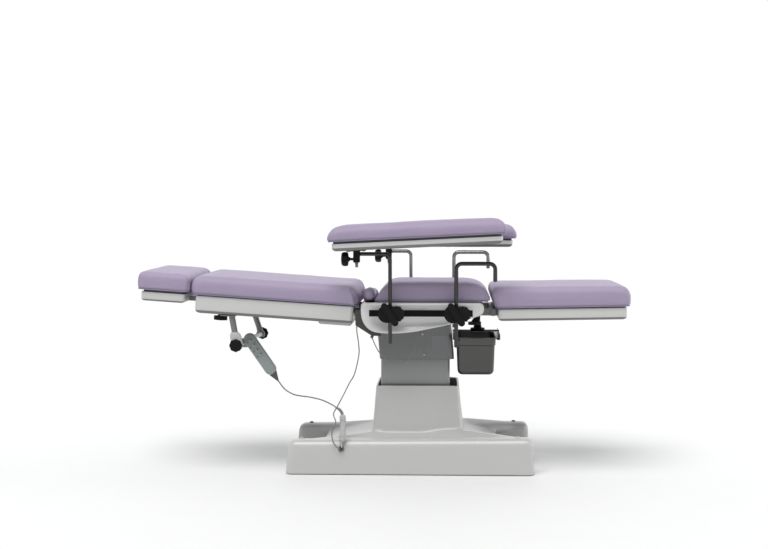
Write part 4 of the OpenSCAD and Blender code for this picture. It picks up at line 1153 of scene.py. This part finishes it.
def base_solids():
    out = []
    for s in (-1, 1):
        out.append(hull_obj("f", [((x, s * y, z), 30) for x, z in FT for y in (245, 215)], [((x, s * y, 2), 24) for x in (-465, 464) for y in (251, 209)]))
        # the long crown from the foot up to the tower, on both ends
        out.append(hull_obj("w", [((440, s * 230, 124), 20), ((440, s * 216, 124), 20), ((228, s * 182, 148), 19), ((112, s * 171.5, 153), 13.5), ((8, s * 165.5, 150), 5), ((212, s * 226, 126), 14), ((330, s * 236, 118), 16), ((228, s * 120, 132), 20)]))
        out.append(hull_obj("w", [((-400, s * 233, 114), 20), ((-400, s * 214, 114), 20), ((-170, s * 182, 137), 20), ((-110, s * 165, 143), 20), ((-170, s * 120, 126), 20)]))
    out.append(hull_obj("b", [((x, y, 158 - 16), 16) for x in (-146, 208) for y in (-165, 165)], [((x, y, 2), 22) for x in (-330, 330) for y in (-235, 235)] + [((x, y, 114), 20) for x in (-328, 328) for y in (-233, 233)]))
    out.append(hull_obj("t", [], [((x, y, 152), 26) for x in (-130, 192) for y in (-152, 152)] + [((x, y, 128), 40) for x in (-128, 190) for y in (-148, 148)]))
    out.append(hull_obj("t", [], [((x, y, 140), 23) for x in (-130, 192) for y in (-154, 154)] + [((x, y, 340), 18) for x in (-118, 175) for y in (-139, 139)]))
    return out


def base_cavities():
    out = []
    for s in (-1, 1):
        out.append(hull_obj("cf", [((x, s * y, z), 21) for x, z in FT for y in (245, 215)], [((x, s * y, -2), 15) for x in (-465, 464) for y in (251, 209)]))
    out.append(hull_obj("cb", [((x, y, 130), 10) for x in (-146, 208) for y in (-165, 165)], [((x, y, -2), 13) for x in (-330, 330) for y in (-235, 235)] + [((x, y, 104), 12) for x in (-328, 328) for y in (-233, 233)]))
    out.append(hull_obj("ct", [], [((x, y, 120), 15) for x in (-130, 192) for y in (-154, 154)] + [((x, y, 350), 10) for x in (-117, 174) for y in (-138, 138)]))
    return out


VOX = 0.0038
solids = base_solids()
for so in solids:
    for c in base_cavities():
        md = so.modifiers.new("b", "BOOLEAN")
        md.operation = "DIFFERENCE"
        md.solver = "EXACT"
        md.object = c
        bpy.context.view_layer.update()
        apply_mods(so)
        bpy.data.objects.remove(c)
bm = bmesh.new()
for so in solids:
    bm.from_mesh(so.data)
    bpy.data.objects.remove(so)
me = bpy.data.meshes.new("base_shell")
bm.to_mesh(me)
bm.free()
base = bpy.data.objects.new("base_shell", me)
SC.collection.objects.link(base)
# the base's darker grey is painted shade
base.data.materials.append(M["base"])
rm = base.modifiers.new("r", "REMESH")
rm.mode = "VOXEL"
rm.voxel_size = VOX
apply_mods(base)
if not base.data.materials:
    base.data.materials.append(M["base"])


def relax(me, keep, blend):
    """keep rounds of smoothing that hold the volume, then blend rounds that melt the crown's seams together."""
    n = len(me.vertices)
    co = np.empty(n * 3)
    me.vertices.foreach_get("co", co)
    co = co.reshape(-1, 3)
    ed = np.empty(len(me.edges) * 2, dtype=np.int64)
    me.edges.foreach_get("vertices", ed)
    ed = ed.reshape(-1, 2)
    deg = np.maximum(np.bincount(ed.ravel(), minlength=n), 1)

    def lap(c):
        out = np.empty_like(c)
        for j in range(3):
            out[:, j] = (np.bincount(ed[:, 0], c[ed[:, 1], j], n) + np.bincount(ed[:, 1], c[ed[:, 0], j], n)) / deg - c[:, j]
        return out

    for _ in range(keep):
        co = co + 0.5 * lap(co)
        co = co - 0.53 * lap(co)
    z = co[:, 2]
    w = np.clip((z - 0.112) / 0.015, 0, 1) * np.clip((0.300 - z) / 0.05, 0, 1)
    # the foot's outer upper edges keep their radius
    ay = np.abs(co[:, 1])
    w *= np.clip((0.262 - ay) / 0.02, 0, 1) * np.clip((0.475 - np.abs(co[:, 0])) / 0.02, 0, 1)
    for _ in range(blend):
        co = co + (0.5 * w)[:, None] * lap(co)
    me.vertices.foreach_set("co", co.ravel())
    me.update()


relax(base.data, 12, 34 if VOX < 0.005 else 12)
finish(base, "base", "base_cover", angle=180, slot="white_shell")

# screw caps, grommet, inlet, feet
k = 0
for px in (-427, 427):
    for py in (-230, 230):
        z = 136.6 if px < 0 else 145.8
        v, f = lathe([(0, 4.6), (3.5, 4.4), (6.6, 3.2), (8.4, 1.2), (8.6, -0.5), (7.0, -1.5), (0, -1.5)], 28, mv(px, py, z))
        o = new_obj("screw_cap_%d" % k, v, f, M["black"] if py > 0 else M["base"])
        finish(o, "base", *(["cover_screws"] if k == 0 else []), angle=40)
        k += 1
GM = mv(-268, -272, 103) @ rot("X", 70)
v, f = lathe([(0, -6), (9.0, -6), (9.6, 2.0), (12.2, 2.8), (12.8, 4.2), (12.2, 6.0), (10.2, 6.8), (7.6, 6.2), (7.0, 4.6), (0, 4.4)], 40, GM)
o = new_obj("grommet_ring", v, f, M["cord"])
finish(o, "base", "cable_grommet", angle=50)
v, f = lathe([(0, 4.2), (6.8, 4.2), (6.8, 4.9), (0, 4.9)], 28, GM)
o = new_obj("grommet_mouth", v, f, M["rubber"])
finish(o, "base", angle=50)
from_cad("mains_inlet", M["black"], 0.6, 2)
from_cad("base_feet", M["rubber"], 1.2, 2)
for n_, mm_ in (("base_chassis", "grey"), ("column_outer", "column"), ("column_inner", "column"), ("seat_frame", "grey"), ("back_frame", "grey"), ("head_frame", "satin"), ("leg_frame", "satin"), ("back_actuator", "grey"), ("actuator_rod", "satin")):
    use_cad(n_, M[mm_])

# ---------------------------------------------------------------- rails, clamps, posts, handles
from_cad("side_rails", M["blackpaint"], 1.6, 3)
for n_ in ("near_arm", "near_handle", "far_arm", "far_handle"):
    from_cad(n_ + "_clamp", M["black"], 1.6, 3)
    from_cad(n_ + "_wing", M["black"], 2.2, 3)
for s, side, px, zb, hook, zl in ((-1, "near", NEAR_AX, 871, 138, 527), (1, "far", FAR_AX, 860, 104, 516)):
    Y = s * POST_Y
    path = bend_path([(px - hook, Y, zb), (px, Y, zb), (px, Y, zl)], [20], 10)
    v, f = tube(path, 7.5, 28, True, 3.5)
    # near post in the darker chrome, far post in the paler one: painted reflection and painted light
    o = new_obj(side + "_post_tube", v, f, M["chrome_painted_dark" if s < 0 else "chrome_painted_pale"])
    finish(o, side + "_arm_riser", side + "_arm_post", angle=50, slot="steel_chrome")
    star_knob(side + "_knob_star", mv(px - hook - 22.5, Y, zb - 20) @ rot("Y", -90), M["black"], side + "_arm_lever", side + "_arm_knob", r=27.5, lobes=6, depth=3.4, h=28)
for s, side, px, zt, w in ((-1, "near", NEAR_HX, 834, 150), (1, "far", FAR_HX, 856, 146)):
    Y = s * POST_Y
    path = bend_path([(px, Y, zt - 320), (px, Y, zt), (px + w, Y, zt), (px + w, Y, zt - 66)], [22, 22], 10)
    v, f = tube(path, 8.0, 28, True, 4.5)
    # near handle in the darker chrome, far handle in the paler one: painted reflection and painted light
    o = new_obj(side + "_handle_tube", v, f, M["chrome_painted_dark" if s < 0 else "chrome_painted_pale"])
    finish(o, side + "_handle_grip", side + "_handle", angle=50, slot="steel_chrome")

# ---------------------------------------------------------------- basin, hanger, lock knobs, cable arm
hg = from_cad("basin_hanger", M["blackpaint"], 1.0, 2)
hg.data.materials.append(M["satin"])
for pl in hg.data.polygons:
    if (hg.matrix_world @ pl.center).z < 0.5462:
        pl.material_index = 1
from_cad("leg_lock_knob", M["black"], 1.2, 2)
from_cad("head_lock_knob", M["black"], 1.2, 2)
from_cad("cable_arm", M["grey"], 0.7, 2)
BW, BL = 80.0, 152.5


def pan_level(dw, r, z):
    c = 260.5 if dw > -0.5 else 263.0
    w_ = BW if dw > -0.5 else BW - 2.5
    return (c - w_ + dw, c + w_ - dw, -BL + dw, BL - dw, r, z)


lv = []
for k in range(7):
    a = math.pi / 2 * k / 6
    lv.append(pan_level(7.5 + 19 * (1 - math.sin(a)), 4 + 18 * math.sin(a), 382.2 + 20 * (1 - math.cos(a))))
lv += [pan_level(7.0, 22, 420), pan_level(4.2, 22, 497), pan_level(3.9, 22, 499), pan_level(1.2, 23, 501.5), pan_level(0.9, 23, 504), pan_level(0.0, 23, 527.6), pan_level(-1.0, 23, 529.0), pan_level(-11.6, 14, 529.2), pan_level(-12.3, 14, 530.2), pan_level(-11.6, 14, 531.3),
       pan_level(-1.2, 23, 531.6), pan_level(0.6, 22.5, 530.8), pan_level(1.3, 22, 528), pan_level(2.1, 22, 505), pan_level(2.6, 21, 501), pan_level(5.3, 20.5, 498.4), pan_level(5.7, 20, 496), pan_level(8.3, 20, 420)]
for k in range(7):
    a = math.pi / 2 * (6 - k) / 6
    lv.append(pan_level(8.8 + 18 * (1 - math.sin(a)), 4 + 16 * math.sin(a), 383.6 + 19 * (1 - math.cos(a))))
v, f = loft(lv, 12, (True, True))
# the pan's dark steel is painted shade
o = new_obj("pan", v, f, M["pan"])
finish(o, "basin_pan", "basin", angle=35, slot="pan_steel")

# ---------------------------------------------------------------- roll holder
from_cad("roll_arms", M["alu"], 0.9, 2)
ub = (BAR_B - BAR_A).normalized()
v, f = tube([BAR_A - ub * 22, BAR_A, BAR_B, BAR_B + ub * 22], 9.0, 28, True)
o = new_obj("roll_rod", v, f, M["knuckle"])
finish(o, "roll", "roll_bar", angle=50, slot="steel_chrome")
# rounded end fitting round each arm's foot; the near one is the larger
BARM = Matrix.Translation(BAR_A) @ ub.to_track_quat("Z", "Y").to_matrix().to_4x4()
bl = (BAR_B - BAR_A).length


def fitting(name, foot, lean, levels, material):
    verts = []
    for z, hx_, hy_ in levels:
        for k in range(40):
            a = 2 * math.pi * k / 40
            c_, s_ = math.cos(a), math.sin(a)
            e_ = 0.72
            verts.append((foot[0] + lean * z + hx_ * math.copysign(abs(c_) ** e_, c_), foot[1] + hy_ * math.copysign(abs(s_) ** e_, s_), foot[2] + z))
    o = new_obj(name, verts, ring_faces(len(levels), 40), material)
    return finish(o, "back", angle=60)


fitting("roll_fitting_near", (-678, -262, 510), -0.18, [(-19, 6, 5), (-18, 11, 8.5), (-15.5, 15.5, 11), (-11, 19, 12.2), (-4, 21, 12.6), (8, 22.5, 13), (22, 23, 13.4), (33, 22.6, 13.6), (40, 21, 13.6), (45, 18.6, 13.4), (48.5, 15.4, 13.1), (50.5, 12.6, 12.6)], M["knuckle"])
fitting("roll_fitting_far", (-645, 262, 510), -0.33, [(-14, 4, 5), (-13, 8, 8.5), (-10.5, 11.4, 11), (-6, 13.6, 12.2), (2, 14.2, 12.6), (12, 13.6, 13), (20, 12.8, 12.8)], M["alu"])
k0 = star_knob("roll_knob_near", BARM @ mv(0, 0, -22) @ rot("X", 180), M["black"], "roll", "roll_knobs", r=26.0, lobes=8, depth=1.7, h=16, hub_len=4)
k1 = star_knob("roll_knob_far", BARM @ mv(0, 0, bl + 22), M["black"], "roll", None, r=26.0, lobes=8, depth=1.7, h=16, hub_len=4)

# ---------------------------------------------------------------- hand control
HS = mv(-597, -165, 457) @ rot("Y", 54.6 - 90)
FRONT = HS @ rot("X", 90)


def hs_loft(name, prof, x0, x1, z0, z1, r, material, body, angle=50, nodes=()):
    lv = [(x0 + i, x1 - i, z0 + i, z1 - i, max(1, r - i), c) for i, c in prof]
    v, f = loft(lv, 14)
    o = new_obj(name, to_world(v, FRONT), f, material)
    return finish(o, body, *nodes, angle=angle)


def capsule(name, prof, material, body, nodes=(), angle=50, top=(4.0, 80.0, 24.0), bot=(2.5, -64.0, 23.5), n=18):
    """Long rounded body: prof = (inset, depth) from back to front."""
    verts = []
    for ins, c in prof:
        for (cx_, cz_, r_), a0 in ((top, 0.0), (bot, 180.0)):
            for k in range(n + 1):
                a = math.radians(a0 + 180.0 * k / n)
                verts.append((cx_ + (r_ - ins) * math.cos(a), cz_ + (r_ - ins) * math.sin(a), c))
    f = ring_faces(len(prof), 2 * (n + 1))
    o = new_obj(name, to_world(verts, FRONT), f, material)
    return finish(o, body, *nodes, angle=angle)


capsule("handset_case", [(13, -13.9), (8, -13.6), (3.6, -12.2), (1.1, -9.4), (0.1, -5.6), (0, 0.2), (0.6, 0.6), (0.6, 1.2), (0, 1.6), (0, 6.4), (0.6, 9.4), (2.2, 11.9), (4.6, 13.3), (8.0, 13.9)], M["hs"], "hand_control", ("handset",))
v, f = loft([(-15.5, 20, -6, 90, 7, 13.2), (-15.3, 19.8, -5.8, 89.8, 7, 14.15), (-14.6, 19.1, -5.1, 89.1, 6, 14.35)], 10)
finish(new_obj("handset_panel", to_world(v, FRONT), f, M["hs_panel"]), "hand_control", angle=40)
SYM = [("up", "down"), ("up", "down"), ("left", "right"), ("up", "down")]


def tri(cx, cz, kind, k=5.2):
    p = [(-0.95, -0.7), (0.95, -0.7), (0, 0.95)]
    ang = {"up": 0, "down": 180, "left": 90, "right": -90}[kind]
    c_, s_ = math.cos(math.radians(ang)), math.sin(math.radians(ang))
    return [(cx + k * (x * c_ - y * s_), cz + k * (x * s_ + y * c_)) for x, y in p]


for i in range(4):
    zc = 74 - 22.5 * i
    lv = []
    for ins, c in [(0.4, 10.6), (0, 12.6), (0, 14.4), (0.5, 15.2), (1.3, 15.55)]:
        lv.append((-15.5 + ins, 15.5 - ins, zc - 7 + ins, zc + 7 - ins, 3.2, c))
    v, f = loft(lv, 8)
    # a shallow saddle, so that each half is its own key
    v = [(x, y, z - (0.75 * math.exp(-(x / 4.0) ** 2) if z > 13 else 0)) for x, y, z in v]
    o = new_obj("key_cap_%d" % (i + 1), to_world(v, FRONT), f, M["hs_key"])
    finish(o, "key_%d" % (i + 1), "rocker_%d" % (i + 1), angle=50)
    for h, (cx, kind) in enumerate(((-9.4, SYM[i][0]), (9.6, SYM[i][1]))):
        top = extrude2d(tri(cx, zc + (0.8 if kind == "down" else -0.4 if kind == "up" else 0), kind), 15.5, 15.8, FRONT)
        o = new_obj("key_marks_%d_%d" % (i + 1, h), *top, M["ink_red"] if (i, h) == (2, 1) else M["ink"])
        finish(o, "key_%d" % (i + 1), angle=30)
# hook plate on its back
hook = []
cx, cz = -29.5, 85.9
outl = []
for k in range(33):
    a = math.radians(-40 + 250 * k / 32)
    outl.append((cx + 16.6 * math.cos(a), cz + 16.6 * math.sin(a)))
outl += [(-43, 74), (-37, 66), (-17, 54), (-12, 30), (12, 30), (12, 58), (-6, 84)]
plate = new_obj("hook_plate", *extrude2d(outl, -20, -14, FRONT), M["hs"])
v, f = lathe([(0, -30), (9.9, -30), (9.9, 0), (0, 0)], 40, FRONT @ mv(cx, cz, 0))
boolean(plate, [new_obj("cut", v, f)])
soften(plate, 1.0, 3)
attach(plate, "hand_control")
# strain relief: a flat rubber wedge, ribbed, tapering to the cord
lv = []
for k in range(19):
    t = k / 18
    w_ = 17.5 - 13.4 * t ** 0.85
    d_ = 7.6 - 3.6 * t
    q = 0.7 if k % 3 == 1 and 2 < k < 17 else 0.0
    lv.append((1 - t - w_ + q, 1 - t + w_ - q, -d_ + q, d_ - q, min(d_, w_) * 0.8, 84.5 + 34.6 * t))
v, f = loft(lv, 8)
o = new_obj("handset_relief", to_world([(x, y, -z) for x, y, z in v], HS), f, M["relief"])
finish(o, "hand_control", angle=60)

# ---------------------------------------------------------------- floor and light
def plane(name, size, z, material):
    h = size / 2
    me = bpy.data.meshes.new(name)
    me.from_pydata([(-h, -h, z), (h, -h, z), (h, h, z), (-h, h, z)], [], [(0, 1, 2, 3)])
    ob = bpy.data.objects.new(name, me)
    SC.collection.objects.link(ob)
    me.materials.append(material)
    return ob


fl = mat("floor", (0.74, 0.742, 0.745), 0.6, cvar=0.006, grain=40, bump=0.00001)
floor = plane("floor", 240, 0.0, fl)


def sun(name, az, el, irradiance, angle, color=(1, 1, 1)):
    """A wide, far soft box; az is the compass of its place (0 is in front, 90 to the right)."""
    d = bpy.data.lights.new(name, "SUN")
    d.energy = irradiance
    d.angle = math.radians(angle)
    d.color = color
    o = bpy.data.objects.new(name, d)
    SC.collection.objects.link(o)
    a, e = math.radians(az), math.radians(el)
    at = Vector((math.sin(a) * math.cos(e), -math.cos(a) * math.cos(e), math.sin(e)))
    o.rotation_euler = (-at).to_track_quat("-Z", "Y").to_euler()
    o.location = at * 3
    return o


sun("key_soft", -20, 61, 2.50, 40, (1.0, 0.995, 0.985))
sun("fill_soft", 38, 40, 0.30, 60, (0.98, 0.99, 1.0))
sun("back_soft", 185, 46, 0.45, 60)
sun("side_soft", 101, 10, 0.70, 22)
wd = bpy.data.worlds.new("w")
SC.world = wd
wd.use_nodes = True
wn_, wl_ = wd.node_tree.nodes, wd.node_tree.links
bg = wn_["Background"]
wt = wn_.new("ShaderNodeTexCoord")
wz = wn_.new("ShaderNodeSeparateXYZ")
wl_.new(wt.outputs["Generated"], wz.inputs[0])
wr_ = wn_.new("ShaderNodeMapRange")
wr_.interpolation_type = "SMOOTHSTEP"
wr_.inputs["From Min"].default_value = 0.16
wr_.inputs["From Max"].default_value = 0.55
wr_.inputs["To Min"].default_value = 1.02
wr_.inputs["To Max"].default_value = 0.50
wl_.new(wz.outputs["Z"], wr_.inputs["Value"])
wy_ = wn_.new("ShaderNodeMapRange")
wy_.interpolation_type = "SMOOTHSTEP"
wy_.inputs["From Min"].default_value = -0.75
wy_.inputs["From Max"].default_value = 0.0
wy_.inputs["To Min"].default_value = 0.45
wy_.inputs["To Max"].default_value = 1.0
wl_.new(wz.outputs["Y"], wy_.inputs["Value"])
wm_ = wn_.new("ShaderNodeMath")
wm_.operation = "MULTIPLY"
wl_.new(wr_.outputs["Result"], wm_.inputs[0])
wl_.new(wy_.outputs["Result"], wm_.inputs[1])
wl_.new(wm_.outputs[0], bg.inputs["Strength"])
bg.inputs["Color"].default_value = (0.985, 0.992, 1.0, 1)
SC.view_settings.view_transform = "Standard"
